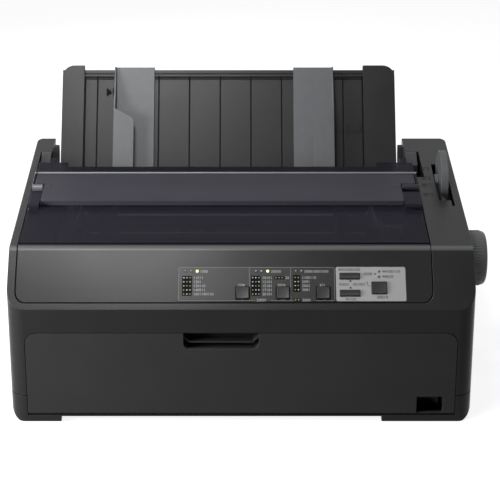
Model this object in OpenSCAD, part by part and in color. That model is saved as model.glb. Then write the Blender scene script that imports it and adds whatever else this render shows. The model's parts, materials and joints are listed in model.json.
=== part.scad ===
// Impact printer for 80-column paper: a sloping control panel in front, a smoked cover over the print
// mechanism, a leaning paper guide behind it and a pair of paper tractors at the back.
// Drawn in millimetres. Inside the modules X runs across the printer from its middle, Y runs back from
// the front face and Z runs up from the table. in_frame() then centres the finished printer on the origin.

/* [Case] */
// Width of the case, without the platen knob
case_w = 400; // [385:1:430]
// Depth of the case
case_d = 350; // [340:1:375]
// Height of the upright front face
front_h = 106.5; // [102:0.5:112]
// How far back the control slope runs
bend_y = 42.4; // [40:0.2:46]
// Height where the control slope meets the top
bend_z = 147.5; // [143:0.5:154]
// Rise of the top towards the back, in degrees
top_slope = 3.9; // [3:0.1:5]
// Height of the back wall
back_h = 112; // [106:1:120]
// Distance from the back wall to the end of the flat top
rear_step = 63; // [58:1:70]
// Thickness of the case walls
wall = 2.6; // [2.2:0.1:3.2]
// Radius of the upright corners
corner_r = 15; // [11:1:18]
// Radius along the lower side edges
belly_r = 12; // [8:1:14]
// Height of the joint between the two case halves
seam_z = 26; // [24:0.5:28]
// Height of the floor's underside above the table
floor_z = 6; // [5.5:0.1:7]
// Gap left around every panel
panel_gap = 0.7; // [0.3:0.1:0.7]
// Width of the narrow rail left of the cover
rail_left = 7.1; // [5:0.1:9]
// Width of the broad rail right of the cover
rail_right = 36.5; // [35:0.5:40]

/* [Front cover] */
// Distance from the case side to the front cover
door_inset = 15.1; // [14.5:0.1:17]
// Height of the front cover's top edge
door_top = 85.2; // [80:0.2:90]
// Thickness of the front cover
door_t = 3; // [2.6:0.1:3.4]
// Radius of its two top corners
door_corner = 10; // [6:1:14]
// Width of the finger grip
grip_w = 64.4; // [50:0.2:80]
// Height of the finger grip
grip_h = 14.8; // [12:0.2:18]

/* [Control panel] */
// Side of a square key
key_side = 10.7; // [9:0.1:12]
// Distance between the square keys
key_pitch = 34.4; // [30:0.1:38]
// Key travel
key_travel = 1; // [0.6:0.1:1.2]
// Height of a key above the panel
key_rise = 1.8; // [1.4:0.1:2.4]
// Width of the dark label
label_w = 134; // [130:0.5:140]
// Width of the light label
light_label_w = 59.6; // [56:0.2:62]
// Length of both labels along the slope
label_l = 31.7; // [30:0.1:34]

/* [Covers] */
// Thickness of the smoked cover
cover_t = 2.4; // [2:0.1:3]
// Length of the exit flap from front lip to back edge
flap_l = 61; // [56:0.5:64]
// Depth of the flap's front lip
flap_lip = 4.6; // [4:0.1:5]
// Radius of the flap's hinge barrels
barrel_r = 3.3; // [3:0.1:3.6]
// Radius of the cover's hinge pins
cover_pin_r = 2.5; // [2:0.1:3]

/* [Paper guide] */
// Width of the paper guide
guide_w = 324.9; // [315:0.5:326]
// Length of the paper guide from its pivot
guide_l = 118.8; // [105:0.5:125]
// Lean of the paper guide from upright, in degrees
guide_lean = 36.1; // [33:0.1:39]
// Thickness of its sheet
guide_t = 3; // [2.4:0.1:3.6]
// Distance between its grooves
groove_pitch = 30; // [24:0.5:34]
// Width of an edge guide
edge_w = 39; // [32:0.5:44]
// Distance between the two edge guides' fences
paper_w = 210; // [190:1:216]
// Height of an edge guide's fence
fence_h = 12; // [9:0.5:14]

/* [Print mechanism] */
// Radius of the platen
platen_r = 16; // [14:0.5:17]
// Length of the platen
platen_l = 274; // [268:1:278]
// Radius of the platen shaft
shaft_r = 4; // [3.5:0.1:4.5]
// Radius of the platen knob
knob_r = 25.2; // [22:0.2:28]
// Thickness of the platen knob
knob_t = 22.4; // [18:0.2:28]
// Number of grips around the knob
knob_ribs = 60; // [36:4:72]
// Radius of the carriage rod
rod_r = 5; // [4:0.1:5.5]
// Gear tooth module
gear_m = 1.5; // [1.4:0.02:1.6]
// Teeth on the platen gear and the two idler gears
gear_n = 32; // [32:2:32]
// Teeth on the feed motor's pinion
pinion_n = 12; // [12:2:12]
// Teeth on the tractor shaft's gear
tractor_n = 24; // [24:2:24]
// Thickness of the gears
gear_t = 7; // [5:0.5:7.5]
// Radius of the belt pulleys
pulley_r = 9; // [7.5:0.1:10]
// Side of the square tractor shaft
square_shaft = 8; // [7:0.1:8.6]

/* [Hidden] */
$fn = 48;

// ---- Colours ----
case_grey = [0.20, 0.20, 0.20];
smoke = [0.17, 0.17, 0.20, 0.8];
light_grey = [0.45, 0.46, 0.47];
label_grey = [0.58, 0.58, 0.58];
key_grey = [0.24, 0.24, 0.24];
steel = [0.66, 0.67, 0.69];
rubber = [0.09, 0.09, 0.09];
natural = [0.82, 0.81, 0.76];
board_green = [0.10, 0.32, 0.18];

// ---- Places shared by the pieces ----
far = 300;                       // longer than any cut has to reach
step_arc = 8;                    // straight pieces in a rounded corner
run = 0.05;                      // clearance of a running fit
ear_y = case_d - rear_step;      // where the flat top ends
ear_back = 1;                    // how far the back faces of the ears slope back
ear_corner_r = 10;               // their outer corners, seen from above
deck_z = 130;                    // foot of those faces, where the rear deck starts
function top_z(y) = bend_z + (y - bend_y) * tan(top_slope);
slope_a = atan2(bend_z - front_h, bend_y);
slope_l = norm([bend_y, bend_z - front_h]);
foot_chamfer = [1, 2.5];         // how far back and how high the lower front edge is cut away
rim_y = 8;                       // thickness of the rim around the underside, front and back
rim_x = case_w / 2 - belly_r - 3;

// The cover opening, between the two rails
open_l = -case_w / 2 + rail_left - 0.2;
open_r = case_w / 2 - rail_right + 0.2;
cover_l = open_l + panel_gap;
cover_r = open_r - panel_gap;
mid_x = (open_l + open_r) / 2;   // middle of the print mechanism
housing_low = 4.5;               // height of the control housing's lower edge above the front face
housing_end = bend_y + 5.1;      // where its top ends
cover_front = bend_y + 8.8;      // front edge of the smoked cover
cover_back = ear_y - 70.5;       // back edge of the smoked cover
cover_ends = ear_y - 60.7;       // back edge of its two raised ends
end_l = 27.5;                    // width of those ends
hinge_y = ear_y - 49;            // cover hinge
hinge_z = top_z(hinge_y) - 5.4;
pocket_front_l = ear_y - 71;
pocket_front_r = ear_y - 95;
pocket_back = ear_y - 35;
ear_in_l = open_l + 10.7;        // inner faces of the two ears
ear_in_r = open_r - 6;
pocket_l = open_l - 0.2;
pocket_r = open_r + 7.4;
shelf_z = top_z(hinge_y) - 45;   // shelf that the hinge blocks stand on
block_x = [[pocket_l + 0.9, ear_in_l - 0.5], [ear_in_r + 0.2, ear_in_r + 11.2]]; // hinge blocks
block_y = [hinge_y - 8, pocket_back - 0.4];
bracket_t = 6.1;
bracket_x = [[block_x[0][1], block_x[0][1] + bracket_t], [block_x[1][0] - bracket_t, block_x[1][0]]];
wing_gap = 0.6;                  // between an ear and the wing of its bracket
eye_r = 5;

// Exit flap
flap_back = ear_y - 100;
flap_front = flap_back - flap_l;
flap_y = ear_y - 130;            // its pivot
flap_z = top_z(flap_y) + 4;
flap_rise = 0.6;                 // how much steeper than the top it lies, in degrees
flap_t = 2.2;
tower_l = 9.4;                   // width of the hinge tower at each end
tower_r = 15.6;
tower_front = flap_front - 8;
function flap_top(y) = flap_z + (y - flap_y) * tan(top_slope + flap_rise) + 1.7;
side_wall = 2.3;

// Paper guide
guide_mid = mid_x + 2.3;
guide_y = hinge_y + 2;           // its pivot
guide_z = hinge_z - 20.6;
guide_pin_r = 3;
guide_rail_l = 21.5;
guide_rail_r = 31;
guide_corner_r = 11.5;           // top corners of the two rails
guide_lip = 8.3;                 // how far the top of the sheet lies below the rails' tops
sheet_lip = 0.8;                 // how far the lip along its top stands out
edge_top = guide_l - 2.3;        // top of the edge guides
edge_low = 10;                   // their lower end
fence_top = guide_l - 47.3;      // where their fences start to taper
arrow_x = guide_mid - 118.5;

// Front cover
door_x = case_w / 2 - door_inset;
door_r = door_t;                 // radius of the rounded lower edge that the cover turns on
door_y = door_r;
door_z = floor_z + 1.5 + door_r;
door_pin_r = 1.5;
door_pin_l = 4;
grip_x = mid_x - 2.5;
grip_r = 5;                      // lower corners of the finger grip
switch_x = case_w / 2 - 36.9;
switch_w = 22.4;
switch_z = [9.3, 24.8];
switch_y = 7.2;

// Control panel places along the slope
label_s = 8.5;
label_x = mid_x - 39.2;
label_t = 0.3;
light_label_x = label_x + label_w + 0.7;
key_s = label_s + 7.5;
key_x = label_x + 55;
wide_key = [17.1, 5.6];
pause_size = [12.9, 11.1];
wide_key_x = light_label_x + 11.8;
pause_x = light_label_x + 36.8;
lamp_r = 1.1;
lamp_s = label_s + 27.8;
lamp_gap = 4.9;
board_depth = 10;                // panel board below the panel's face
key_gap = 0.25;
key_flange = 1;

// Print mechanism
platen_y = flap_y - 11;
platen_z = top_z(flap_y) - 60.4;
frame_t = 1.6;
frame_l = mid_x - platen_l / 2 - 6;      // inner faces of the side frames
frame_r = mid_x + platen_l / 2 + 6;
gear_x = frame_l - frame_t - 2.5 - gear_t;
pitch_r = gear_m * gear_n / 2;
pinion_r = gear_m * pinion_n / 2;
tractor_r = gear_m * tractor_n / 2;
train_a = -6;                            // the gear train runs back and down at this angle
function along_train(d) = [platen_y + d * cos(train_a), platen_z + d * sin(train_a)];
idler1 = along_train(2 * pitch_r);
idler2 = along_train(4 * pitch_r);
tractor_at = along_train(5 * pitch_r + tractor_r);
pinion_a = train_a + 180 / gear_n - 8 * 360 / gear_n;
pinion_at = idler1 + (pitch_r + pinion_r) * [cos(pinion_a), sin(pinion_a)];
stud_r = 3;
floor_top = floor_z + wall;
tray_top = floor_top + 1.6;
rod_at = [platen_y - 58, platen_z - 23];
belt_y = platen_y - 42;
belt_z = [rod_at[1] - 20, rod_at[1] - 14];
belt_t = 1.1;
belt_x = [frame_l + 21.7, frame_r - 20.3];
home_x = frame_l + 41.7;                 // carriage place at rest
rail_y = rod_at[0] - 30;
rail_z = rod_at[1] + 24;
ribbon_z = [platen_z + 21, platen_z + 43];
ribbon_y = [platen_y - 90, platen_y - 58];
ribbon_x = [frame_l + 7.7, frame_r - 3.3];
ribbon_arm = 12;
knob_x = case_w / 2 + 3;

// Release lever
lever_x = case_w / 2 - 16;
lever_t = 6.6;
lever_y = flap_y + 23;
lever_z = top_z(lever_y) - 49;
lever_disc_r = 28.5;
lever_disc = [8, 47];                     // centre of the thumb disc from the pivot
lever_pin_r = 4;
slot_x = [case_w / 2 - 19.6, case_w / 2 - 6.8];
slot_y = [flap_y - 29.5, flap_y + 65];

// Tractors
tractor_rod_at = tractor_at + [-22, -10];
tractor_w = 8;
sprocket_r = platen_r * tractor_n / gear_n; // same paper speed as the platen
sprocket_w = 5;
tractor_x_l = mid_x - 122;
tractor_x_r = mid_x + 120;
bush_r = 8;

// Board, connectors and supply
board_z = 30;
board_y = [tractor_at[0] - 58, case_d - 13];
board_x = [mid_x - 125, mid_x + 75];
supply_x = [frame_r + frame_t + 6.1, case_w / 2 - 8];
supply_y = [case_d - 118, case_d - 12];
supply_h = 53;
inlet_x = supply_x[0] + 14;
inlet_z = 34;

// ---- Helpers ----
function unit(v) = v / norm(v);
function turn(v, a) = [v[0] * cos(a) - v[1] * sin(a), v[0] * sin(a) + v[1] * cos(a)];
// The corner b of the line a-b-c as an arc of radius r
function arc_at(a, b, c, r) =
    let (u = unit(a - b), v = unit(c - b), half = acos(u * v) / 2)
    r <= 0 || half > 89 ? [b] :
    let (
        start = b + u * r / tan(half),
        centre = b + unit(u + v) * r / sin(half),
        side = sign((b - a)[0] * (c - b)[1] - (b - a)[1] * (c - b)[0]),
        sweep = side * (180 - 2 * half)
    )
    [for (i = [0:step_arc]) centre + turn(start - centre, sweep * i / step_arc)];
// A closed outline with its corners rounded to the given radii
function rounded(p, radii) =
    let (n = len(p))
    [for (i = [0:n - 1]) each arc_at(p[(i + n - 1) % n], p[i], p[(i + 1) % n], radii[i])];
// A closed clockwise outline moved inwards by d
function inset(p, d) =
    let (n = len(p))
    [for (i = [0:n - 1])
        let (
            e = unit(p[i] - p[(i + n - 1) % n]),
            f = unit(p[(i + 1) % n] - p[i]),
            m = [e[1], -e[0]],
            k = [f[1], -f[0]]
        )
        p[i] + d * (m + k) / (1 + m * k)];
// An outline in Y and Z swept across the printer from x0 to x1
module across(p, x0, x1) translate([x0, 0, 0]) rotate([90, 0, 90]) linear_extrude(x1 - x0) polygon(p);
// An outline in X and Z swept back from y0 to y1
module back(p, y0, y1) translate([0, y1, 0]) rotate([90, 0, 0]) linear_extrude(y1 - y0) polygon(p);
// A round bar across the printer
module bar(at, r, x0, x1) translate([x0, at[0], at[1]]) rotate([0, 90, 0]) cylinder(r = r, h = x1 - x0);
module block(x, y, z) translate([x[0], y[0], z[0]]) cube([x[1] - x[0], y[1] - y[0], z[1] - z[0]]);
function rect(x, z) = [[x[0], z[0]], [x[0], z[1]], [x[1], z[1]], [x[1], z[0]]];
// Places a piece on the control slope: x across, s up the slope, z out of its face
module on_slope(x, s) translate([x, 0, front_h]) rotate([slope_a, 0, 0]) translate([0, s, 0]) children();
// Places a piece on the flat top: y is measured back from the bend, z out of its face
module on_top() translate([0, bend_y, bend_z]) rotate([top_slope, 0, 0]) children();
// Places a piece on the leaning paper guide: z runs up the guide, -y faces the user
module on_guide() translate([0, guide_y, guide_z]) rotate([-guide_lean, 0, 0]) children();
// Centres the whole printer on the origin, standing on the table
module in_frame() translate([-(knob_x + knob_t - case_w / 2) / 2, -case_d / 2, 0]) children();

// ---- Case ----
case_side = [
    [foot_chamfer[0], 0], [0, foot_chamfer[1]], [0, front_h], [bend_y, bend_z],
    [ear_y, top_z(ear_y)], [ear_y + ear_back, deck_z], [case_d, back_h], [case_d, foot_chamfer[1]],
    [case_d - foot_chamfer[0], 0],
];
// The case's outer form, moved inwards by d
module case_form(d) intersection() {
    across(
        rounded(inset(case_side, d), [0, 0, 2, 7, 1.5, 0, 10, 0, 0]),
        -case_w / 2 + d, case_w / 2 - d
    );
    let (w = case_w / 2 - d, c = corner_r - d)
        linear_extrude(far)
            polygon(rounded([[-w, d], [-w, case_d - d], [w, case_d - d], [w, d]], [c, c, c, c]));
    let (w = case_w / 2 - d, c = belly_r - d)
        back(rounded([[-w, d], [-w, far], [w, far], [w, d]], [c, 0, 0, c]), 0, case_d);
    // rounded outer corners of the ears, above the rear deck
    let (w = case_w / 2 - d, y = ear_y + ear_back, c = ear_corner_r - d) {
        block([-w, w], [0, case_d], [-1, deck_z - d]);
        linear_extrude(far) polygon(rounded([[-w, 0], [-w, y], [w, y], [w, 0]], [0, c, c, 0]));
    }
}

module door_opening(y1) back(
    rounded(
        [[-door_x - panel_gap / 2, door_z - door_r - 0.3], [-door_x - panel_gap / 2, door_top + 0.3],
         [door_x + panel_gap / 2, door_top + 0.3], [door_x + panel_gap / 2, door_z - door_r - 0.3]],
        [0, door_corner, door_corner, 0]
    ),
    -1, y1
);

module lower_case() color(case_grey) difference() {
    union() {
        difference() {
            intersection() {
                case_form(0);
                block([-far, far], [-far, 2 * far], [0.8, seam_z - 0.15]);
            }
            // hollow above the floor, and the space under it that the feet stand in
            intersection() {
                case_form(wall);
                block([-far, far], [0, 2 * far], [floor_top, far]);
            }
            block([-rim_x, rim_x], [rim_y, case_d - rim_y], [-1, floor_z]);
        }
        // bearings for the front cover's pins
        intersection() {
            case_form(0.2);
            for (s = [-1, 1])
                translate([s * (door_x + 3.4), door_y + 1.8, door_z]) cube([6.2, 8.4, 10], center = true);
        }
    }
    door_opening(door_y + door_r + 1);
    bar([door_y, door_z], door_pin_r + run, -door_x - door_pin_l - 0.6, door_x + door_pin_l + 0.6);
    // hand space under the front edge
    block([-door_x + 28.6, door_x - 63], [-1, 10], [-1, floor_z]);
    // air slots in the floor
    for (i = [0:9]) block([mid_x + 12 * i - 20, mid_x + 12 * i - 16], [120, 165], [0, floor_top + 1]);
}

module upper_case() color(case_grey) difference() {
    union() {
        difference() {
            intersection() {
                case_form(0);
                block([-far, far], [-far, 2 * far], [seam_z + 0.15, far]);
            }
            case_form(wall);
        }
        intersection() {
            case_form(wall / 2);
            union() {
                // walls below the edges of the cover opening
                block([open_l - wall, open_l], [housing_end, pocket_front_l + wall], [shelf_z, far]);
                block([open_r, open_r + wall], [housing_end, pocket_front_r], [shelf_z, far]);
                block([pocket_l - wall, pocket_l], [pocket_front_l, pocket_back], [shelf_z - 4, far]);
                block([open_r, pocket_r + wall], [pocket_front_r - wall, pocket_front_r], [shelf_z - 4, far]);
                block([pocket_r, pocket_r + wall], [pocket_front_r, pocket_back], [shelf_z - 4, far]);
                // ears
                for (x = [[-far, ear_in_l], [ear_in_r, far]])
                    block(x, [pocket_back, pocket_back + wall], [shelf_z - 4, far]);
                block([ear_in_l - wall, ear_in_l], [pocket_back, case_d], [shelf_z - 52, far]);
                block([ear_in_r, ear_in_r + wall], [pocket_back, case_d], [shelf_z - 52, far]);
                // shelves under the hinge blocks
                block([-far, ear_in_l], [pocket_front_l - wall, pocket_back + wall], [shelf_z - 4, shelf_z]);
                block([ear_in_r, pocket_r + wall], [pocket_front_r - wall, pocket_back + wall],
                    [shelf_z - 4, shelf_z]);
            }
        }
    }
    // opening for the control housing, through the slope
    back(rounded(rect([open_l, open_r], [front_h + housing_low, far]), [8, 0, 0, 8]), -1, bend_y + 1);
    // openings for the cover, the pockets beside it and the paper space behind it
    block([open_l, open_r], [bend_y, pocket_front_r], [shelf_z, far]);
    block([open_l, open_r], [pocket_front_r - 1, pocket_front_l], [shelf_z, far]);
    block([pocket_l, ear_in_l + 1], [pocket_front_l, pocket_back], [shelf_z, far]);
    block([ear_in_r - 1, pocket_r], [pocket_front_r, pocket_back], [shelf_z, far]);
    block([ear_in_l, ear_in_r], [pocket_front_l - 1, case_d - 14], [shelf_z - 46, far]);
    door_opening(wall + 1);
    // lever slot, shaft hole, fan-fold slot and connector openings
    block(slot_x, slot_y, [top_z(slot_y[0]) - 12, far]);
    bar([platen_y, platen_z], shaft_r + 2, case_w / 2 - wall - 1, case_w / 2 + 1);
    block([mid_x - 128, mid_x + 128], [case_d - wall - 1, case_d + 1], [tractor_at[1] - 2, back_h - 12]);
    rear_openings();
}

// Openings in the back wall for the connectors
module rear_openings() {
    for (p = port_list)
        block([p[0] - 0.4, p[0] + p[2] + 0.4], [case_d - wall - 1, case_d + 1], [p[1] - 0.4, p[1] + p[3] + 0.4]);
    block([slot_cover_x, slot_cover_x + slot_cover_w], [case_d - 1.4, case_d + 1], [board_z, board_z + 22]);
}
slot_cover_x = board_x[1] + 8;
slot_cover_w = 66;
// Connectors on the back: left edge, lower edge, width and height
port_list = [
    [board_x[0] + 12, board_z + 1.6, 62, 14],
    [board_x[0] + 88, board_z + 1.6, 12.4, 11.2],
    [board_x[0] + 116, board_z + 1.6, 33, 11.6],
    [inlet_x, inlet_z, 28, 20.4],
];

module rubber_feet() color(rubber) for (x = [-1, 1], y = [40, case_d - 40])
    translate([x * (case_w / 2 - 35), y, 0]) {
        cylinder(r1 = 8.2, r2 = 9, h = 1);
        translate([0, 0, 1]) cylinder(r = 9, h = floor_z - 1);
    }

module case_screws() color(steel) for (x = [-1, 1], y = [62, case_d - 22])
    translate([x * (case_w / 2 - 20), y, floor_z - 2]) difference() {
        cylinder(r = 3.2, h = 2);
        translate([0, 0, -1]) cube([5, 0.9, 4], center = true);
        translate([0, 0, -1]) cube([0.9, 5, 4], center = true);
    }

// ---- Front cover ----
// Outline of the pull bar in the finger grip, whose ends turn up
pull_bar = let (w = grip_w / 2, z = door_top - 10, e = 5, t = 1.7) [
    for (p = [[-w - 1, z + e], [-w, z + e], [-w + e, z], [w - e, z], [w, z + e], [w + 1, z + e]]) p + [grip_x, 0],
    for (p = [[w + 1, z + e], [w, z + e], [w - e, z], [-w + e, z], [-w, z + e], [-w - 1, z + e]]) p + [grip_x, t],
];
module front_cover() color(case_grey) difference() {
    union() {
        back(
            rounded(rect([-door_x, door_x], [door_z, door_top]), [0, door_corner, door_corner, 0]),
            0, door_t
        );
        bar([door_y, door_z], door_r, -door_x, door_x);
        bar([door_y, door_z], door_pin_r, -door_x - door_pin_l, door_x + door_pin_l);
        // stiffening ribs
        for (x = [-door_x + 14, -door_x + 90, grip_x + 60, door_x - 62])
            block([x, x + 1.6], [door_t - 0.5, door_t + 3], [door_z + 8, door_top - 12]);
        block([-door_x + 14, door_x - 62], [door_t - 0.5, door_t + 3], [door_z + 26, door_z + 27.6]);
        // pocket behind the finger grip
        block([grip_x - grip_w / 2 - 1.6, grip_x + grip_w / 2 + 1.6], [door_t - 0.5, door_t + 11],
            [door_top - grip_h - 2, door_top - 1.8]);
    }
    // finger grip, with its pull bar left standing
    difference() {
        back(
            rounded(
                rect([grip_x - grip_w / 2, grip_x + grip_w / 2], [door_top - grip_h, door_top + 1]),
                [grip_r, 0, 0, grip_r]
            ),
            -1, door_t + 9.4
        );
        back(pull_bar, 2.5, door_t + 11);
    }
    block([switch_x - switch_w / 2, switch_x + switch_w / 2], [-1, 2 * door_r + 1], switch_z);
}

tray_y = [14, rail_y - 1];       // front and back edge of the paper tray
tray_z = [30, 36];               // height of its underside there
function tray_under(y) = tray_z[0] + (y - tray_y[0]) * (tray_z[1] - tray_z[0]) / (tray_y[1] - tray_y[0]);
module front_paper_tray() color(case_grey) {
    x = [frame_l + 0.2, frame_r - 0.2];
    foot = [tray_y[0] + 4, tray_y[1] - 11];
    across([[tray_y[0], tray_z[0]], [tray_y[0], tray_z[0] + 2], [tray_y[1], tray_z[1] + 2], [tray_y[1], tray_z[1]]],
        x[0], x[1]);
    for (i = [0:6]) let (px = x[0] + 6 + i * (x[1] - x[0] - 14) / 6)
        across(
            [[foot[0], floor_top], [foot[0], tray_under(foot[0]) + 0.5], [foot[1], tray_under(foot[1]) + 0.5],
             [foot[1], floor_top]],
            px, px + 2
        );
}

// ---- Power switch ----
module switch_housing() color(rubber) difference() {
    block([switch_x - 13, switch_x + 13], [switch_y, switch_y + 22], [floor_top, switch_z[1] + 2.4]);
    block([switch_x - 10.6, switch_x + 10.6], [switch_y - 1, switch_y + 14], [switch_z[0] + 1.8, switch_z[1] - 1.2]);
}

// A rocker seen from above: its left end pressed in, its right end standing out
module power_rocker() color(key_grey) translate([switch_x, switch_y + 6, 0]) {
    translate([0, 0, switch_z[0] + 2.3]) linear_extrude(switch_z[1] - switch_z[0] - 4)
        polygon(concat(
            [[7.8, 3.6], [-7.4, 5.4]],
            [for (i = [0:8]) let (t = i / 8, x = -9.6 + 17 * t) [x, 1.2 - 7 * pow(t, 1.7) + 1.6 * sin(180 * t)]]
        ));
    // pivot stubs
    translate([0, 3, switch_z[0] + 1.9]) cylinder(r = 1.4, h = switch_z[1] - switch_z[0] - 3.2);
}

// ---- Control panel ----
// Each key: place across, place along the slope and size
key_list = [
    [key_x, key_s, [key_side, key_side]],
    [key_x + key_pitch, key_s, [key_side, key_side]],
    [key_x + 2 * key_pitch, key_s, [key_side, key_side]],
    [wide_key_x, key_s + 15.6, wide_key],
    [wide_key_x, key_s - 0.2, wide_key],
    [pause_x, key_s + 4.7, pause_size],
];
lamp_list = [
    for (k = [0:2]) [label_x + 6.4 + k * lamp_gap, lamp_s],
    for (k = [0:2]) [label_x + 66.7 + k * lamp_gap, lamp_s],
    for (k = [0:1]) [label_x + 100.7 + k * lamp_gap, lamp_s],
    [pause_x, lamp_s - 0.3],
    [pause_x, lamp_s - 5.2],
];
board_posts = [for (x = [label_x - 4, label_x + 66, light_label_x + light_label_w + 3], s = [14, 42]) [x, s]];

// Shape cut out of the panel for one key
module key_hole(k, gap, z0, z1)
    on_slope(k[0], k[1]) block(
        [-k[2][0] / 2 - gap, k[2][0] / 2 + gap], [-k[2][1] / 2 - gap, k[2][1] / 2 + gap], [z0, z1]
    );

module key(i) color(key_grey) {
    k = key_list[i];
    flange_top = -wall - 0.2;
    key_hole(k, 0, flange_top - 1, key_rise);
    key_hole([k[0], k[1], k[2] + [2 * key_flange, 0]], 0, flange_top - 1.5, flange_top);
    on_slope(k[0], k[1]) translate([0, 0, -board_depth + 1.8 + key_travel]) cylinder(r = 2, h = 4);
}

module item_left_key() key(0);
module item_right_key() key(1);
module set_key() key(2);
module load_key() key(3);
module feed_key() key(4);
module pause_key() key(5);

module control_housing() color(case_grey) difference() {
    lip_out = inset(case_side, wall + 0.15);
    lip_in = inset(case_side, wall + 2.15);
    up_slope = [cos(slope_a), sin(slope_a)];
    union() {
        // skin over the slope and the bend
        intersection() {
            difference() {
                case_form(0);
                case_form(wall);
            }
            union() {
                back(rounded(rect([cover_l, cover_r], [front_h + housing_low + panel_gap, far]), [8, 0, 0, 8]),
                    -1, housing_end);
            }
        }
        // turned-in lip that seats behind the case's front strip
        across(
            [lip_out[2] - [0, 8], lip_out[2] - [0, 1], lip_out[2] + up_slope, lip_out[2] + 9.1 * up_slope,
             lip_in[2] + 8.2 * up_slope, lip_in[2], lip_in[2] - [0, 8]],
            cover_l + 12, cover_r - 12
        );
        on_slope(0, 0) block([cover_l + 12, cover_r - 12], [9.4, 10.3], [-wall - 2, -wall + 0.9]);
        // ledge below the cover's front edge
        across(
            [[housing_end - 3, top_z(housing_end) - 1.4], [housing_end, top_z(housing_end) - cover_t - 0.6],
             [cover_front + 5, top_z(cover_front) - cover_t - 0.4],
             [cover_front + 5, top_z(cover_front) - cover_t - 2.4], [housing_end - 3, top_z(housing_end) - 5]],
            cover_l + 5, cover_r - 5
        );
        for (p = board_posts) on_slope(p[0], p[1]) translate([0, 0, -board_depth]) cylinder(r = 3, h = board_depth - 1);
    }
    for (k = key_list) key_hole(k, key_gap, -wall - 1, 1);
    for (p = lamp_list) on_slope(p[0], p[1]) translate([0, 0, -wall - 1]) cylinder(r = lamp_r + 0.15, h = wall + 2);
}

module label_sheet(x, w) difference() {
    on_slope(x, label_s) translate([0, 0, 0.02]) linear_extrude(label_t)
        polygon(rounded([[0, 0], [0, label_l], [w, label_l], [w, 0]], [1.5, 1.5, 1.5, 1.5]));
    for (k = key_list) key_hole(k, key_gap, -1, 1);
    for (p = lamp_list) on_slope(p[0], p[1]) translate([0, 0, -1]) cylinder(r = lamp_r + 0.15, h = 2);
}
module panel_label() color(case_grey) label_sheet(label_x, label_w);
module key_label() color(label_grey) label_sheet(light_label_x, light_label_w);

module indicator_lamps() color([0.55, 0.9, 0.35]) for (p = lamp_list)
    on_slope(p[0], p[1]) translate([0, 0, -board_depth]) cylinder(r = lamp_r, h = board_depth + 0.5);

module panel_board() color(board_green) {
    x0 = label_x - 8;
    x1 = light_label_x + light_label_w + 7;
    on_slope(0, 0) block([x0, x1], [4, 46], [-board_depth - 1.6, -board_depth]);
    for (k = key_list) on_slope(k[0], k[1])
        translate([0, 0, -board_depth + 0.8]) cube([6, min(6, k[2][1]), 1.6], center = true);
    on_slope(0, 0) block([x0 + 8, x0 + 40], [18, 24], [-board_depth - 6, -board_depth - 1.6]);
}

// ---- Smoked cover ----
function top_t(y) = (y - bend_y) / cos(top_slope);   // distance along the top from the bend
module cover_plate(x, y, z0 = -cover_t, z1 = 0) on_top() block(x, [top_t(y[0]), top_t(y[1])], [z0, z1]);

module printer_cover() color(smoke) difference() {
    union() {
        cover_plate([cover_l, cover_r], [cover_front, flap_front + 5]);
        cover_plate([cover_l, cover_r], [flap_back + 1.5, cover_back]);
        cover_plate([cover_l, cover_l + end_l], [flap_back + 1.5, cover_ends]);
        cover_plate([cover_r - end_l - 7, cover_r], [flap_back + 1.5, cover_ends]);
        // side walls
        for (x = [[cover_l, cover_l + side_wall], [cover_r - side_wall, cover_r]]) {
            cover_plate(x, [cover_front + 1.5, cover_ends], -9, 0);
            // raised beside the flap's back strip
            across(
                [[flap_y, top_z(flap_y) - 2], [flap_y, flap_top(flap_y)], [flap_back - 1, flap_top(flap_back - 1)],
                 [flap_back, flap_top(flap_back) - 0.8], [flap_back + 1, top_z(flap_back)],
                 [flap_back + 1, top_z(flap_back) - 2]],
                x[0], x[1]
            );
        }
        // hinge towers of the flap, with their barrels
        tower(cover_l + 1, cover_l + 1 + tower_l);
        tower(cover_r - tower_r, cover_r);
        // eyes of the cover's own hinge
        for (x = [ear_in_l + 0.3, ear_in_r - 5.6]) cover_eye(x, x + 5.3);
        bar([hinge_y, hinge_z], cover_pin_r, ear_in_l - 5.2, ear_in_l + 3);
        bar([hinge_y, hinge_z], cover_pin_r, ear_in_r - 3, ear_in_r + 6.5);
        // ribs under the strip behind the flap
        for (i = [0:8]) cover_plate([mid_x - 127 + i * groove_pitch, mid_x - 126.4 + i * groove_pitch],
            [flap_back + 1.5, cover_back], -cover_t - 2, -cover_t + 0.2);
    }
    bar([flap_y, flap_z], 1.6, cover_l + 3, cover_r - 3);
}

// Eye of the cover hinge: a rounded lug that runs forward to the cover's end
module cover_eye(x0, x1) {
    bar([hinge_y, hinge_z], eye_r, x0, x1);
    across(
        [[cover_ends - 6, hinge_z - eye_r], [cover_ends - 6, hinge_z + 3.4], [hinge_y, hinge_z + eye_r],
         [hinge_y, hinge_z - eye_r]],
        x0, x1
    );
}

module tower(x0, x1) {
    across(
        [[tower_front, top_z(tower_front) - 1], [tower_front, flap_z - 3.4],
         [tower_front + 1.4, flap_z - 1.4], [flap_y - 10.5, flap_z + 0.3],
         [flap_y - 10.5, top_z(flap_y - 10) - 1]],
        x0, x1
    );
    bar([flap_y, flap_z], barrel_r, x0, x1);
    across(
        [[flap_y - 12, flap_z - 5.6], [flap_y - 12, flap_z - 1.8], [flap_y, flap_z - 1.8],
         [flap_y, flap_z - 3], [flap_y - 4, flap_z - 5.6]],
        x0, x1
    );
}

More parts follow.
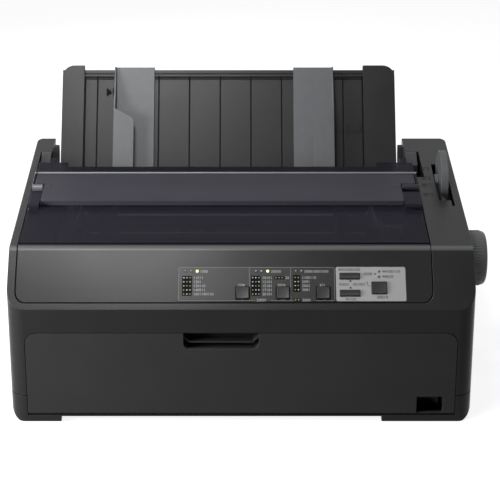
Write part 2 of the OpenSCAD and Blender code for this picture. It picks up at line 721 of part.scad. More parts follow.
module exit_flap() color(smoke) difference() {
    z_front = flap_top(flap_front);
    z_back = flap_top(flap_back);
    z_barrel = flap_top(flap_y + 7);
    front_x = [cover_l + 1 + tower_l + 0.8, cover_r - tower_r - 0.8];
    union() {
        // sheet and front lip between the towers
        across(
            [[flap_front, z_front - flap_lip], [flap_front, z_front], [flap_y + 7, z_barrel],
             [flap_y + 7, z_barrel - flap_t], [flap_front + 1.8, z_front - flap_t],
             [flap_front + 1.8, z_front - flap_lip]],
            front_x[0], front_x[1]
        );
        // back strip over the full width
        across(
            [[flap_y + 6.5, flap_top(flap_y + 6.5)], [flap_back - 1, z_back], [flap_back, z_back - 0.8],
             [flap_back, z_back - flap_t - 0.4], [flap_back - 1.4, z_back - flap_t], [flap_y + 6.5, z_barrel - flap_t]],
            cover_l + side_wall + 0.5, cover_r - side_wall - 0.5
        );
        // pivots
        for (x = [[front_x[0], front_x[0] + 6], [front_x[1] - 6, front_x[1]]])
            bar([flap_y, flap_z], 2.6, x[0], x[1]);
        bar([flap_y, flap_z], 1.55, front_x[0] - 6, front_x[0] + 6);
        bar([flap_y, flap_z], 1.55, front_x[1] - 6, front_x[1] + 6);
    }
}

// Blocks that carry the cover's hinge pins
module hinge_blocks() color(light_grey) {
    z1 = top_z(hinge_y) + 1;
    difference() {
        union() {
            for (x = block_x)
                across(
                    [[block_y[0], shelf_z], [block_y[0], z1 - 6], [block_y[1] - 4, z1], [block_y[1], z1],
                     [block_y[1], shelf_z]],
                    x[0], x[1]
                );
        }
        bar([hinge_y, hinge_z], cover_pin_r + run, ear_in_l - 6.5, ear_in_r + 8);
    }
}

// Brackets on the hinge blocks' inner faces that carry the paper guide, with wings beside its edges
module guide_brackets() color(case_grey) difference() {
    union() {
        for (x = bracket_x) across(
            [[guide_y - 9, guide_z - 16], [guide_y - 9, guide_z + 6], [guide_y - 3, guide_z + 12],
             [guide_y + 11, guide_z + 12], [guide_y + 11, guide_z - 16]],
            x[0], x[1]
        );
        for (x = [[ear_in_l + wing_gap, bracket_x[0][1]], [bracket_x[1][0], ear_in_r - wing_gap]]) across(
            rounded(
                [[guide_y + 4, guide_z - 14], [guide_y + 4, guide_z + 8], [guide_y + 17, guide_z + 30],
                 [guide_y + 27, guide_z + 30], [guide_y + 27, guide_z + 20], [guide_y + 11, guide_z - 14]],
                [0, 0, 2, 3, 0, 0]
            ),
            x[0], x[1]
        );
    }
    bar([guide_y, guide_z], guide_pin_r + run, -case_w / 2, case_w / 2);
}

// ---- Paper guide ----
module paper_guide() color(case_grey) {
    x0 = guide_mid - guide_w / 2;
    x1 = guide_mid + guide_w / 2;
    sheet_top = guide_l - guide_lip + 4;
    difference() {
        on_guide() {
            block([x0, x1], [0, guide_t], [0, sheet_top - 4]);
            // lip along the top
            block([x0, x1], [-sheet_lip, guide_t], [sheet_top - 4, sheet_top]);
            // raised side rails
            rail([x0, x0 + guide_rail_l], [guide_corner_r, 0]);
            rail([x1 - guide_rail_r, x1], [0, guide_corner_r]);
            // turned lower edge
            rotate([0, 90, 0]) translate([0, 0, x0]) cylinder(r = 4, h = guide_w);
        }
        // grooves down the sheet
        on_guide() for (i = [0:8]) let (gx = guide_mid - 128.1 + i * groove_pitch)
            if (gx > x0 + guide_rail_l && gx < x1 - guide_rail_r)
                block([gx - 0.4, gx + 0.4], [-0.1, 0.9], [8, sheet_top - 6]);
    }
    // pins that end just inside the brackets
    bar([guide_y, guide_z], guide_pin_r, bracket_x[0][0] + 1, x0 + 5);
    bar([guide_y, guide_z], guide_pin_r, x1 - 5, bracket_x[1][1] - 1);
}

// A side rail with one rounded top corner
module rail(x, r) translate([0, guide_t, 0]) rotate([90, 0, 0]) linear_extrude(guide_t + 2.4)
    polygon(rounded(rect(x, [4, guide_l]), [0, r[0], r[1], 0]));

// An edge guide with its fence at x = 0 and its plate running in direction s
module edge_guide(x, s) color(light_grey) on_guide() translate([x, 0, 0]) mirror([s < 0 ? 1 : 0, 0, 0]) {
    back = -sheet_lip - 0.3;
    front = back - 1.7;
    z0 = edge_low;
    // plate, hooked over the top of the sheet
    block([0, edge_w], [front, back], [z0, edge_top]);
    block([0, edge_w], [front, guide_t + 2.6], [guide_l - guide_lip + 4.4, edge_top]);
    block([0, edge_w], [guide_t + 0.4, guide_t + 2.6], [guide_l - guide_lip - 6, edge_top]);
    // fence, tapering out at the top
    rotate([90, 0, 90]) linear_extrude(1.8)
        polygon([[front, z0], [front - fence_h, z0], [front - fence_h, fence_top], [front - 2, edge_top], [front, edge_top]]);
    // lip over the paper's edge
    translate([0, front - fence_h + 1.6, 0]) rotate([90, 0, 0]) linear_extrude(1.6)
        polygon(rounded([[0, z0], [0, fence_top], [20, fence_top - 11], [20, z0]], [0, 0, 5, 0]));
}
module edge_guide_left() edge_guide(guide_mid - 111.3, 1);
module edge_guide_right() edge_guide(guide_mid - 111.3 + paper_w + 3.6, -1);

// ---- Frames of the print mechanism ----
module mechanism_tray() color(steel) difference() {
    union() {
        block([frame_l - 12, frame_r + 4.4], [48, case_d - 12], [floor_top, tray_top]);
        // posts under the main board
        for (x = [board_x[0] + 6, board_x[1] - 6], y = [board_y[0] + 6, board_y[1] - 6])
            translate([x, y, tray_top - 0.5]) cylinder(r = 3, h = board_z - tray_top + 0.5);
        // post of the idler pulley
        translate([belt_x[1], belt_y, tray_top - 0.5]) cylinder(r = 6, h = belt_z[0] - 2 - tray_top);
        translate([belt_x[1], belt_y, tray_top]) cylinder(r = 3, h = belt_z[1] + 2.6 - tray_top);
    }
    block([mid_x - 26, mid_x + 98], [118, 167], [0, tray_top + 1]);
}

module side_frames() color(steel) difference() {
    union() {
        for (x = [frame_l - frame_t, frame_r]) across(
            [[50, tray_top], [50, rail_z + 8], [ribbon_y[0], ribbon_z[0] - 1], [ribbon_y[1], ribbon_z[0] - 1],
             [platen_y - 26, platen_z + 26], [platen_y + 24, platen_z + 26], [idler1[0] + 20, idler1[1] + 16],
             [tractor_at[0] + 20, tractor_at[1] + 14], [tractor_at[0] + 22, tray_top]],
            x, x + frame_t
        );
        // tabs that the ribbon cartridge rests on, and feet on the tray
        for (x = [[frame_l - 1, ribbon_x[0] + 6], [ribbon_x[1] - 6, frame_r + 1]])
            block(x, [ribbon_y[0] + 4, ribbon_y[1] - 4], [ribbon_z[0] - 1.2, ribbon_z[0]]);
        for (x = [[frame_l - 1, frame_l + 9], [frame_r - 9, frame_r + 1]], y = [60, 250])
            block(x, [y, y + 22], [tray_top, tray_top + 1.5]);
        // studs of the two idler gears
        for (c = [idler1, idler2]) {
            bar(c, stud_r, gear_x - 1.4, frame_l - 0.5);
            bar(c, stud_r + 3, frame_l - frame_t - 2.2, frame_l - frame_t + 0.2);
            bar(c, stud_r + 2, gear_x - 2, gear_x - 0.3);
        }
    }
    bar([platen_y, platen_z], bush_r - 1 + run, -far, far);
    bar(tractor_at, bush_r - 1 + run, -far, far);
    bar(rod_at, rod_r + run, -far, far);
    bar(tractor_rod_at, rod_r - 1 + run, -far, far);
    bar(pinion_at, 8, frame_l - 5, frame_l + 5);
    // paper openings beside the chute
    for (x = [frame_l, frame_r]) block([x - 5, x + 5], [rail_y + 42, platen_y - 24], [32, 44]);
}

module shaft_bushes() color(natural) for (c = [[platen_y, platen_z], tractor_at], s = [-1, 1]) {
    inner = s < 0 ? frame_l : frame_r;
    difference() {
        union() {
            bar(c, bush_r - 1, inner + min(0, s * 2.8), inner + max(0, s * 2.8));
            bar(c, bush_r + 1.5, inner + min(0, -s * 1.5) , inner + max(0, -s * 1.5));
        }
        bar(c, (c == tractor_at ? square_shaft * 0.72 : shaft_r) + run, inner - 9, inner + 9);
    }
}

// ---- Gears ----
function roll(a) = tan(a) * 180 / PI - a;       // involute function in degrees
// Outline of a gear with n teeth, one of them centred on the angle a0
function gear_outline(n, a0) =
    let (
        rp = gear_m * n / 2,
        rb = rp * cos(20),
        root = rp - 1.3 * gear_m,
        tip = rp + 0.85 * gear_m,
        half = 86 / n + roll(20),
        foot = max(rb, root + 0.1),
        rad = [for (i = [0:3]) foot + (tip - foot) * i / 3],
        ang = [for (r = rad) half - roll(acos(min(1, rb / r)))]
    )
    [for (k = [0:n - 1]) let (c = a0 + k * 360 / n) each concat(
        [root * [cos(c - ang[0]), sin(c - ang[0])]],
        [for (i = [0:3]) rad[i] * [cos(c - ang[i]), sin(c - ang[i])]],
        [for (i = [3:-1:0]) rad[i] * [cos(c + ang[i]), sin(c + ang[i])]],
        [root * [cos(c + ang[0]), sin(c + ang[0])]]
    )];
module gear(at, n, a0, bore) difference() {
    union() {
        translate([gear_x, at[0], at[1]]) rotate([90, 0, 90]) linear_extrude(gear_t) polygon(gear_outline(n, a0));
    }
    bar(at, bore, gear_x - 5, gear_x + gear_t + 5);
    // recess in the web of the larger gears
    if (n > pinion_n) difference() {
        bar(at, gear_m * n / 2 - 4.5, gear_x - 1, gear_x + 2);
        bar(at, bore + 3.5, gear_x - 2, gear_x + 3);
    }
}
module platen_gear() color(natural) gear([platen_y, platen_z], gear_n, train_a, shaft_r + 0.02);
module idler_gear_front() color(natural) gear(idler1, gear_n, train_a + 180 / gear_n, stud_r + run);
module idler_gear_rear() color(natural) gear(idler2, gear_n, train_a, stud_r + run);
module feed_pinion() color(steel) gear(pinion_at, pinion_n, pinion_a + 180 / pinion_n, 2.52);

// ---- Platen ----
module platen_roller() color(rubber) difference() {
    bar([platen_y, platen_z], platen_r, mid_x - platen_l / 2, mid_x + platen_l / 2);
    bar([platen_y, platen_z], shaft_r + 0.02, mid_x - platen_l, mid_x + platen_l);
}
module platen_shaft() color(steel) {
    bar([platen_y, platen_z], shaft_r, gear_x - 3, knob_x + knob_t - 6);
    // rings that keep it between the bushes
    bar([platen_y, platen_z], shaft_r + 2.5, frame_l + 2, mid_x - platen_l / 2 - 0.3);
    bar([platen_y, platen_z], shaft_r + 2.5, mid_x + platen_l / 2 + 0.3, frame_r - 2);
}
module platen_knob() color(light_grey) translate([knob_x, platen_y, platen_z]) rotate([90, 0, 90]) {
    rim = knob_r + 0.5;
    difference() {
        union() {
            rotate_extrude($fn = 96) polygon([
                [0, 0], [rim - 2.4, 0], [rim - 1, 1.2], [rim - 1, 5], [knob_r, 5.4], [knob_r, knob_t - 4.2],
                [knob_r - 0.8, knob_t - 2.4], [knob_r - 2.2, knob_t - 0.9], [knob_r - 4.2, knob_t - 0.2],
                [knob_r - 6, knob_t], [0, knob_t]
            ]);
            for (i = [0:knob_ribs - 1]) rotate(i * 360 / knob_ribs)
                translate([knob_r - 0.6, -0.55, 6]) cube([1.1, 1.1, knob_t - 11]);
        }
        translate([0, 0, -1]) cylinder(r = shaft_r + 0.02, h = knob_t - 5);
    }
}

// ---- Motors ----
module stepper_motors() color(steel) {
    // feed motor, fixed to the inner face of the left frame
    bar(pinion_at, 20, frame_l + 0.1, frame_l + 28);
    bar(pinion_at, 7.6, frame_l - 1, frame_l + 0.2);
    bar(pinion_at, 2.5, gear_x + 0.5, frame_l);
    // carriage motor, standing on the tray
    translate([belt_x[0], belt_y, tray_top]) {
        cylinder(r = 19.5, h = belt_z[0] - 4 - tray_top);
        translate([-21, -21, belt_z[0] - 5.6 - tray_top]) cube([42, 42, 1.6]);
        for (x = [-19, 19], y = [-19, 19]) translate([x, y, 0]) cylinder(r = 2, h = belt_z[0] - 5 - tray_top);
        cylinder(r = 2.5, h = belt_z[1] + 1 - tray_top);
    }
}

// ---- Paper path ----
module paper_chute() color(case_grey) {
    r = platen_r + 2.5;
    arc = [for (i = [0:16]) let (a = -150 + i * 153 / 16) [cos(a), sin(a)]];
    c = [platen_y, platen_z];
    back_end = tractor_at + [-34, -4];
    across(
        concat(
            [for (p = arc) c + r * p],
            [c + [r + 6, 3], back_end + [0, 1.6], back_end, c + [r + 7, 1.2]],
            [for (i = [16:-1:0]) c + (r + 1.6) * arc[i]]
        ),
        frame_l + 0.2, frame_r - 0.2
    );
    // ribs that stand on the tray
    for (i = [0:5]) let (x = frame_l + 34 + i * (frame_r - frame_l - 52) / 5)
        across(
            [[platen_y + 2, tray_top], [platen_y + 2, platen_z - r - 1], [platen_y + 14, platen_z - r + 4],
             [platen_y + 20, platen_z - 8], [platen_y + 24, platen_z - 6], [platen_y + 24, tray_top]],
            x, x + 1.8
        );
}

// ---- Carriage ----
module carriage_rod() color(steel) {
    bar(rod_at, rod_r, frame_l - 9, frame_r + 4);
    for (x = [frame_l - 8.6, frame_r + frame_t + 0.3]) bar(rod_at, rod_r + 1.8, x, x + 1);
}
module head_rail() color(steel) across(
    [[rail_y - 7, rail_z - 10], [rail_y - 7, rail_z], [rail_y + 6, rail_z], [rail_y + 6, rail_z - 1.5],
     [rail_y - 5.5, rail_z - 1.5], [rail_y - 5.5, rail_z - 10]],
    frame_l, frame_r
);
module carriage() color(case_grey) {
    y = rod_at[0];
    z = rod_at[1];
    difference() {
        union() {
            block([home_x - 22, home_x + 22], [y - 9, y + 10], [z - 9, z + 9]);
            block([home_x - 15, home_x + 15], [y - 24, y + 26], [z + 6, z + 10]);
            // slider that runs over the front rail
            block([home_x - 9, home_x + 9], [y - 30, y - 20], [z + 6, z + 22]);
            block([home_x - 9, home_x + 9], [y - 31, y - 20], [rail_z + 0.3, rail_z + 3]);
            block([home_x - 9, home_x + 9], [y - 23.6, y - 20], [z + 6, rail_z + 3]);
            // belt clamp
            block([home_x - 8, home_x + 8], [y + 2, belt_y - pulley_r - belt_t - 0.05], [belt_z[0] - 1, z - 7]);
        }
        bar(rod_at, rod_r + run, home_x - 30, home_x + 30);
        block([home_x - 10, home_x + 10], [y - 40, y - 24], [z + 6, rail_z - 1.8]);
        block([home_x - 10, home_x + 10], [y - 40, y - 23.6], [rail_z - 2, rail_z + 0.3]);
    }
}
module print_head() color(steel) {
    z0 = rod_at[1] + 10;
    nose_y = platen_y - platen_r - 1.5;
    block([home_x - 14, home_x + 14], [nose_y - 28, nose_y - 12], [z0, platen_z + 14]);
    // cooling fins
    for (i = [0:5]) block([home_x - 13, home_x + 13], [nose_y - 44, nose_y - 27.5],
        [z0 + 1 + i * 5, z0 + 2.4 + i * 5]);
    // nose
    across(
        [[nose_y - 13, platen_z - 10], [nose_y - 13, platen_z + 10], [nose_y, platen_z + 3],
         [nose_y, platen_z - 3]],
        home_x - 5, home_x + 5
    );
}
module belt_loop(d) {
    w = belt_x[1] - belt_x[0];
    translate([belt_x[0], belt_y - pulley_r - d, 0]) square([w, 2 * (pulley_r + d)]);
    for (x = belt_x) translate([x, belt_y]) circle(r = pulley_r + d);
}
module timing_belt() color(rubber) translate([0, 0, belt_z[0]]) linear_extrude(belt_z[1] - belt_z[0])
    difference() {
        belt_loop(belt_t);
        belt_loop(run);
    }
module pulley(x, bore) color(natural) translate([x, belt_y, 0]) difference() {
    union() {
        translate([0, 0, belt_z[0] - 1.6]) cylinder(r = pulley_r + 1.8, h = 1.4);
        translate([0, 0, belt_z[0] - 1]) cylinder(r = pulley_r - 0.05, h = belt_z[1] - belt_z[0] + 1.6);
    }
    translate([0, 0, belt_z[0] - 9]) cylinder(r = bore, h = 30);
    // marks on the top face
    for (a = [0:60:300]) rotate(a) translate([pulley_r - 3.4, 0, belt_z[1] - 1]) cylinder(r = 1, h = 5);
}
module motor_pulley() pulley(belt_x[0], 2.52);
module idler_pulley() pulley(belt_x[1], 3 + run);

// ---- Ribbon ----
ribbon_knob_at = [ribbon_x[0] + 22, ribbon_y[0] + 16];
module ribbon_cartridge() color(rubber) {
    difference() {
        union() {
            block(ribbon_x, ribbon_y, ribbon_z);
            for (x = [[ribbon_x[0], ribbon_x[0] + ribbon_arm], [ribbon_x[1] - ribbon_arm, ribbon_x[1]]]) {
                block(x, [ribbon_y[1] - 1, platen_y - 20], [ribbon_z[0] + 2, ribbon_z[1] - 6]);
                block(x, [platen_y - 24, platen_y - 18], [platen_z - 8, ribbon_z[1] - 6]);
            }
        }
        for (x = [ribbon_x[0] - 1, ribbon_x[1] - 7])
            translate([x, ribbon_y[0] - 1, ribbon_z[1] - 5]) cube([8, 10, 8]);
        translate([ribbon_knob_at[0], ribbon_knob_at[1], ribbon_z[1] - 8]) cylinder(r = 2.5 + run, h = 12);
    }
    // the inked ribbon between the arms
    block([ribbon_x[0] + 1, ribbon_x[1] - 1], [platen_y - platen_r - 1, platen_y - platen_r - 0.7],
        [platen_z - 6.5, platen_z + 6.5]);
    for (x = [[ribbon_x[0] + 1, ribbon_x[0] + 3], [ribbon_x[1] - 3, ribbon_x[1] - 1]])
        block(x, [platen_y - 19, platen_y - platen_r - 0.7], [platen_z - 6.5, platen_z + 6.5]);
}
module ribbon_knob() color(case_grey) translate([ribbon_knob_at[0], ribbon_knob_at[1], 0]) {
    translate([0, 0, ribbon_z[1] - 7.5]) cylinder(r = 2.5, h = 9);
    translate([0, 0, ribbon_z[1] + 0.3]) cylinder(r = 7.5, h = 3.6);
    for (a = [0:30:150]) rotate(a) translate([-8.2, -0.7, ribbon_z[1] + 0.3]) cube([16.4, 1.4, 3.6]);
}

// ---- Levers ----
module lever_bracket() color(steel) {
    c = [lever_y, lever_z];
    bar(c, lever_pin_r, frame_r + frame_t + 0.1, lever_x + lever_t + 1.6);
    bar(c, lever_pin_r + 6, frame_r + frame_t, frame_r + frame_t + 2);
    bar(c, lever_pin_r + 2, frame_r + frame_t + 1, frame_r + frame_t + 22);
    bar(c, lever_pin_r + 1.6, lever_x + lever_t + 0.3, lever_x + lever_t + 1.3);
}
module release_lever() color(light_grey) {
    c = [lever_y, lever_z];
    d = c + lever_disc;
    difference() {
        union() {
            bar(d, lever_disc_r, lever_x, lever_x + lever_t);
            bar(d + [5, -6], lever_disc_r - 18, lever_x - 3, lever_x + 0.5);
            bar(c, lever_pin_r + 3, frame_r + frame_t + 22.4, lever_x + lever_t);
            across([c + [-8, 0], d + [-14, 0], d + [14, 0], c + [8, 0], c + [0, -6]], lever_x, lever_x + lever_t);
            // thumb ribs
            for (a = [52:5.5:128]) translate([lever_x, d[0], d[1]]) rotate([a, 0, 0])
                translate([0.6, lever_disc_r - 0.4, -0.7]) cube([lever_t - 1.2, 0.9, 1.4]);
        }
        bar(c, lever_pin_r + run, frame_r, lever_x + lever_t + 5);
    }
}
module thickness_lever() color(case_grey) difference() {
    x = [frame_l - frame_t - 5.4, frame_l - frame_t - 0.3];
    union() {
        bar(rod_at, rod_r + 3.5, x[0], x[1]);
        across([rod_at + [-6, 0], rod_at + [-12, 46], rod_at + [-4, 48], rod_at + [6, 0]], x[0] + 1, x[0] + 4);
        across([rod_at + [-13, 42], rod_at + [-13, 54], rod_at + [-3, 54], rod_at + [-3, 42]], x[0] - 4, x[0] + 4.4);
    }
    bar(rod_at, rod_r + run, x[0] - 1, x[1] + 1);
}

// ---- Tractors ----
module tractor_shaft() color(steel) {
    difference() {
        union() {
            translate([(gear_x - 2 + frame_r + 4) / 2, tractor_at[0], tractor_at[1]])
                rotate([train_a, 0, 0]) cube([frame_r + 6 - gear_x, square_shaft, square_shaft], center = true);
            for (x = [frame_l + 2, frame_r - 3.6]) bar(tractor_at, square_shaft * 0.95, x, x + 1.6);
        }
    }
    difference() {
        gear(tractor_at, tractor_n, train_a + 180 / tractor_n, square_shaft * 0.4);
    }
}
module tractor_rod() color(steel) {
    bar(tractor_rod_at, rod_r - 1, frame_l - 3.4, frame_r + 3.4);
    for (x = [frame_l - frame_t - 1.2, frame_r + frame_t + 0.2]) bar(tractor_rod_at, rod_r + 0.6, x, x + 1);
}
// A tractor with its paper side at x, its wheel beside it in direction s
module tractor_frame(x, s) color(case_grey) {
    c = tractor_at;
    q = tractor_rod_at;
    x0 = s > 0 ? x : x - tractor_w;
    x1 = x0 + tractor_w;
    wheel = s > 0 ? [x1 - 0.1, x1 + sprocket_w + 0.8] : [x0 - sprocket_w - 0.8, x0 + 0.1];
    difference() {
        union() {
            across(
                [[q[0] - 9, q[1] - 8], [q[0] - 9, q[1] + 10], [c[0] - 20, c[1] + sprocket_r - 1.2],
                 [c[0] + 14, c[1] + sprocket_r - 1.2], [c[0] + 20, c[1] + 4], [c[0] + 16, c[1] - 10],
                 [q[0] + 6, q[1] - 9]],
                x0, x1
            );
            // bed under the paper, beyond the wheel
            across(
                [[c[0] - 26, c[1] + sprocket_r - 2.6], [c[0] - 26, c[1] + sprocket_r - 1.2],
                 [c[0] - 14.5, c[1] + sprocket_r - 1.2], [c[0] - 14.5, c[1] + sprocket_r - 2.6]],
                min(x0, wheel[0]), max(x1, wheel[1])
            );
            bar(q, rod_r + 2.6, x0 - 3, x1 + 3);
        }
        bar(q, rod_r - 1 + run, x0 - 9, x1 + 9);
        bar(c, square_shaft * 0.75, x0 - 1, x1 + 1);
    }
}
module tractor_frame_left() tractor_frame(tractor_x_l, 1);
module tractor_frame_right() tractor_frame(tractor_x_r, -1);
module sprocket(x0) color(natural) difference() {
    union() {
        bar(tractor_at, sprocket_r - 0.3, x0, x0 + sprocket_w);
        for (i = [0:5]) translate([x0 + sprocket_w / 2, tractor_at[0], tractor_at[1]])
            rotate([train_a + 90 + i * 60, 0, 0]) translate([0, 0, sprocket_r - 1])
                cylinder(r1 = 1.9, r2 = 1.1, h = 3);
    }
    translate([x0 + sprocket_w / 2, tractor_at[0], tractor_at[1]]) rotate([train_a, 0, 0])
        cube([sprocket_w + 2, square_shaft + 0.2, square_shaft + 0.2], center = true);
}
module tractor_sprocket_left() sprocket(tractor_x_l + tractor_w + 0.3);
module tractor_sprocket_right() sprocket(tractor_x_r - tractor_w - sprocket_w - 0.3);

// ---- Board, connectors and supply ----
module main_board() color(board_green) {
    block(board_x, board_y, [board_z, board_z + 1.6]);
    // chips and capacitors
    for (i = [0:3]) block([board_x[0] + 16 + i * 34, board_x[0] + 40 + i * 34],
        [board_y[0] + 30, board_y[0] + 42], [board_z + 1.4, board_z + 5]);
    for (i = [0:5]) translate([board_x[1] - 14, board_y[0] + 16 + i * 13, board_z + 1.4])
        cylinder(r = 4, h = 9 + i % 2 * 3);
}
module rear_connectors() color(steel) for (p = port_list) {
    front = p[0] == inlet_x ? supply_y[1] : board_y[1] - 14;
    block([p[0], p[0] + p[2]], [front, case_d - 0.8], [p[1], p[1] + p[3]]);
}
module power_supply() color(steel) {
    z = [floor_top, floor_top + supply_h];
    block(supply_x, supply_y, [z[0], z[0] + 2]);
    block([supply_x[0], supply_x[0] + 1.5], supply_y, z);
    block([supply_x[0], supply_x[1]], [supply_y[1] - 1.5, supply_y[1]], z);
    // transformer: laminated core with its winding
    block([supply_x[0] + 6, supply_x[1] - 6], [supply_y[0] + 6, supply_y[0] + 52], [z[0] + 1, z[0] + 38]);
    block([supply_x[0] + 10, supply_x[1] - 10], [supply_y[0] + 1, supply_y[0] + 57], [z[0] + 9, z[0] + 30]);
    capacitor_gap = (supply_x[1] - supply_x[0]) / 4;
    for (i = [1:3]) translate([supply_x[0] + i * capacitor_gap, supply_y[1] - 22, z[0] + 1]) cylinder(r = 6, h = 27);
}

// ---- The finished printer ----
in_frame() {
    lower_case();
    upper_case();
    control_housing();
    rubber_feet();
    case_screws();
    panel_label();
    key_label();
    indicator_lamps();
    panel_board();
    switch_housing();
    power_rocker();
    item_left_key();
    item_right_key();
    set_key();
    load_key();
    feed_key();
    pause_key();
    front_cover();
    front_paper_tray();
    printer_cover();
    exit_flap();
    hinge_blocks();
    guide_brackets();
    paper_guide();
    edge_guide_left();
    edge_guide_right();
    side_frames();
    mechanism_tray();
    shaft_bushes();
    platen_roller();
    platen_shaft();
    platen_gear();
    platen_knob();
    idler_gear_front();
    idler_gear_rear();
    feed_pinion();
    stepper_motors();
    paper_chute();
    carriage_rod();
    head_rail();
    carriage();
    print_head();
    timing_belt();
    motor_pulley();
    idler_pulley();
    ribbon_cartridge();
    ribbon_knob();
    release_lever();
    lever_bracket();
    thickness_lever();
    tractor_shaft();
    tractor_rod();
    tractor_frame_left();
    tractor_frame_right();
    tractor_sprocket_left();
    tractor_sprocket_right();
    main_board();
    rear_connectors();
    power_supply();
}
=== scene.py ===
# %% [markdown]
# # Dressing a desk printer
# The working parts of this impact printer come ready made, each at its real size and in its real place. This
# lesson gives them their looks: rounded mouldings, grained plastic, a smoked cover, a printed control panel
# and a ribbed knob. The first cell loads the parts and their record, which holds the size of the whole.

# %% The working parts
import json
import math

import bmesh
import bpy
from mathutils import Matrix, Vector


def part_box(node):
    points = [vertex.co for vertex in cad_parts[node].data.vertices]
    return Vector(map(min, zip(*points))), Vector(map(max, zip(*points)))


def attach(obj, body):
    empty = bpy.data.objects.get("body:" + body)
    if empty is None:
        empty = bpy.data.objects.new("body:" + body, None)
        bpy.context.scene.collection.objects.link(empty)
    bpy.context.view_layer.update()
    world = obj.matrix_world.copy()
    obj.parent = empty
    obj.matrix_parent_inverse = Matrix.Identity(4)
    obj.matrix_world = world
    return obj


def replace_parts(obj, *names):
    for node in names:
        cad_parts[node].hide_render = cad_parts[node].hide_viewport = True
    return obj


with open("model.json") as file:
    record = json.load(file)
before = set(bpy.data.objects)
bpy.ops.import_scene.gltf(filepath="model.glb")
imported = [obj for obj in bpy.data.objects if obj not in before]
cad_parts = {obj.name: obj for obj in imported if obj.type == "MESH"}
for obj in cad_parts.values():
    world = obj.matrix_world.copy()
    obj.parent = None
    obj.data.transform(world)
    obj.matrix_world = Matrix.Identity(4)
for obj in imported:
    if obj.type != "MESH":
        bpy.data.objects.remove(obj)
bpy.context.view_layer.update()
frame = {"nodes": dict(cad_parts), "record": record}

MM = 0.001
NODES = frame["nodes"]
SLOT_OF = {part["node"]: part["material_slot"] for part in frame["record"]["subparts"]}
BODY_OF = {node: body for body, nodes in frame["record"]["behaviour"]["bodies"].items() for node in nodes}

# %% [markdown]
# ## The camera
# The photograph looks down on the printer from in front, a little over a metre and a half away. Its vertical
# edges run almost parallel, which tells of a long lens. The lens and the place were fitted to the corners of
# the case, and the small shifts put the printer where the photograph has it, without turning the camera.

# %% Camera
SENSOR = 36.0                       # millimetres
PHOTO_SIDE = 500                    # pixels
FOCAL_PIXELS = 1788                 # focal length measured in the photograph's pixels
LOOK_DOWN = 22                      # degrees
CASE_LOW, CASE_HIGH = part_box("upper_case")
CASE_MIDDLE = (CASE_LOW.x + CASE_HIGH.x) / 2
CAMERA_AT = (CASE_MIDDLE, -1.5593, 0.7258)
CENTRE_PIXEL = (241.3, 245.0)       # where the lens axis meets the photograph

lens = bpy.data.cameras.new("photo_camera")
lens.sensor_width = SENSOR
lens.lens = FOCAL_PIXELS * SENSOR / PHOTO_SIDE
lens.shift_x = (PHOTO_SIDE / 2 - CENTRE_PIXEL[0]) / PHOTO_SIDE
lens.shift_y = (CENTRE_PIXEL[1] - PHOTO_SIDE / 2) / PHOTO_SIDE
camera = bpy.data.objects.new("photo_camera", lens)
camera.location = CAMERA_AT
camera.rotation_euler = (math.radians(90 - LOOK_DOWN), 0, 0)
bpy.context.scene.collection.objects.link(camera)
bpy.context.scene.camera = camera
print("lens", round(lens.lens, 1), "mm")

# %% [markdown]
# ## A small kit for finishes
# Every finish is a tree of shader nodes. `add` puts in one node and fills its inputs: a socket is linked, any
# other value is set. All patterns read the Object coordinates. Each part's mesh holds its own place, so these
# coordinates are metres in the printer, and a grain of 0.5 mm is 0.5 mm on every part.

# %% Kit for finishes
def add(tree, kind, inputs=None, **settings):
    """Adds a shader node. An input given as a socket is linked, and any other value is set."""
    made = tree.nodes.new(kind)
    for key, value in settings.items():
        setattr(made, key, value)
    for key, value in (inputs or {}).items():
        if isinstance(value, bpy.types.NodeSocket):
            tree.links.new(value, made.inputs[key])
        else:
            made.inputs[key].default_value = value
    return made


def start(name, colour, roughness, specular=0.3, metal=0.0):
    """A new material, its tree, its shader and the Object coordinates."""
    material = bpy.data.materials.new(name)
    material.use_nodes = True
    tree = material.node_tree
    shader = tree.nodes["Principled BSDF"]
    shader.inputs["Base Color"].default_value = (*colour, 1)
    shader.inputs["Roughness"].default_value = roughness
    shader.inputs["Specular IOR Level"].default_value = specular
    shader.inputs["Metallic"].default_value = metal
    return material, tree, shader, add(tree, "ShaderNodeTexCoord").outputs["Object"]


def cloud(tree, place, size, detail=2.0, stretch=(1, 1, 1)):
    """Soft noise whose blotches are about size millimetres wide."""
    stretched = add(tree, "ShaderNodeMapping", {"Vector": place, "Scale": stretch}).outputs["Vector"]
    sizes = {"Vector": stretched, "Scale": 1 / (size * MM), "Detail": detail}
    return add(tree, "ShaderNodeTexNoise", sizes).outputs["Fac"]


def spread(tree, value, low, high, start_at=0.3, end_at=0.7):
    """Maps a noise value to the range from low to high."""
    return add(tree, "ShaderNodeMapRange", {
        "Value": value, "From Min": start_at, "From Max": end_at, "To Min": low, "To Max": high,
    }).outputs["Result"]


def between(tree, amount, colour, other):
    """A colour between two others, for an amount from 0 to 1."""
    made = add(tree, "ShaderNodeMix", data_type="RGBA")
    for index, value in ((0, amount), (6, colour), (7, other)):
        if isinstance(value, bpy.types.NodeSocket):
            tree.links.new(value, made.inputs[index])
        else:
            made.inputs[index].default_value = value if index == 0 else (*value, 1)
    return made.outputs[2]


def shade(colour, factor):
    """The colour made darker or lighter."""
    return tuple(min(1.0, channel * factor) for channel in colour)


def raise_surface(tree, shader, height, depth):
    """Bumps the surface by a height from 0 to 1, depth millimetres deep."""
    bump = add(tree, "ShaderNodeBump", {"Height": height, "Distance": depth * MM, "Strength": 1.0})
    tree.links.new(bump.outputs["Normal"], shader.inputs["Normal"])


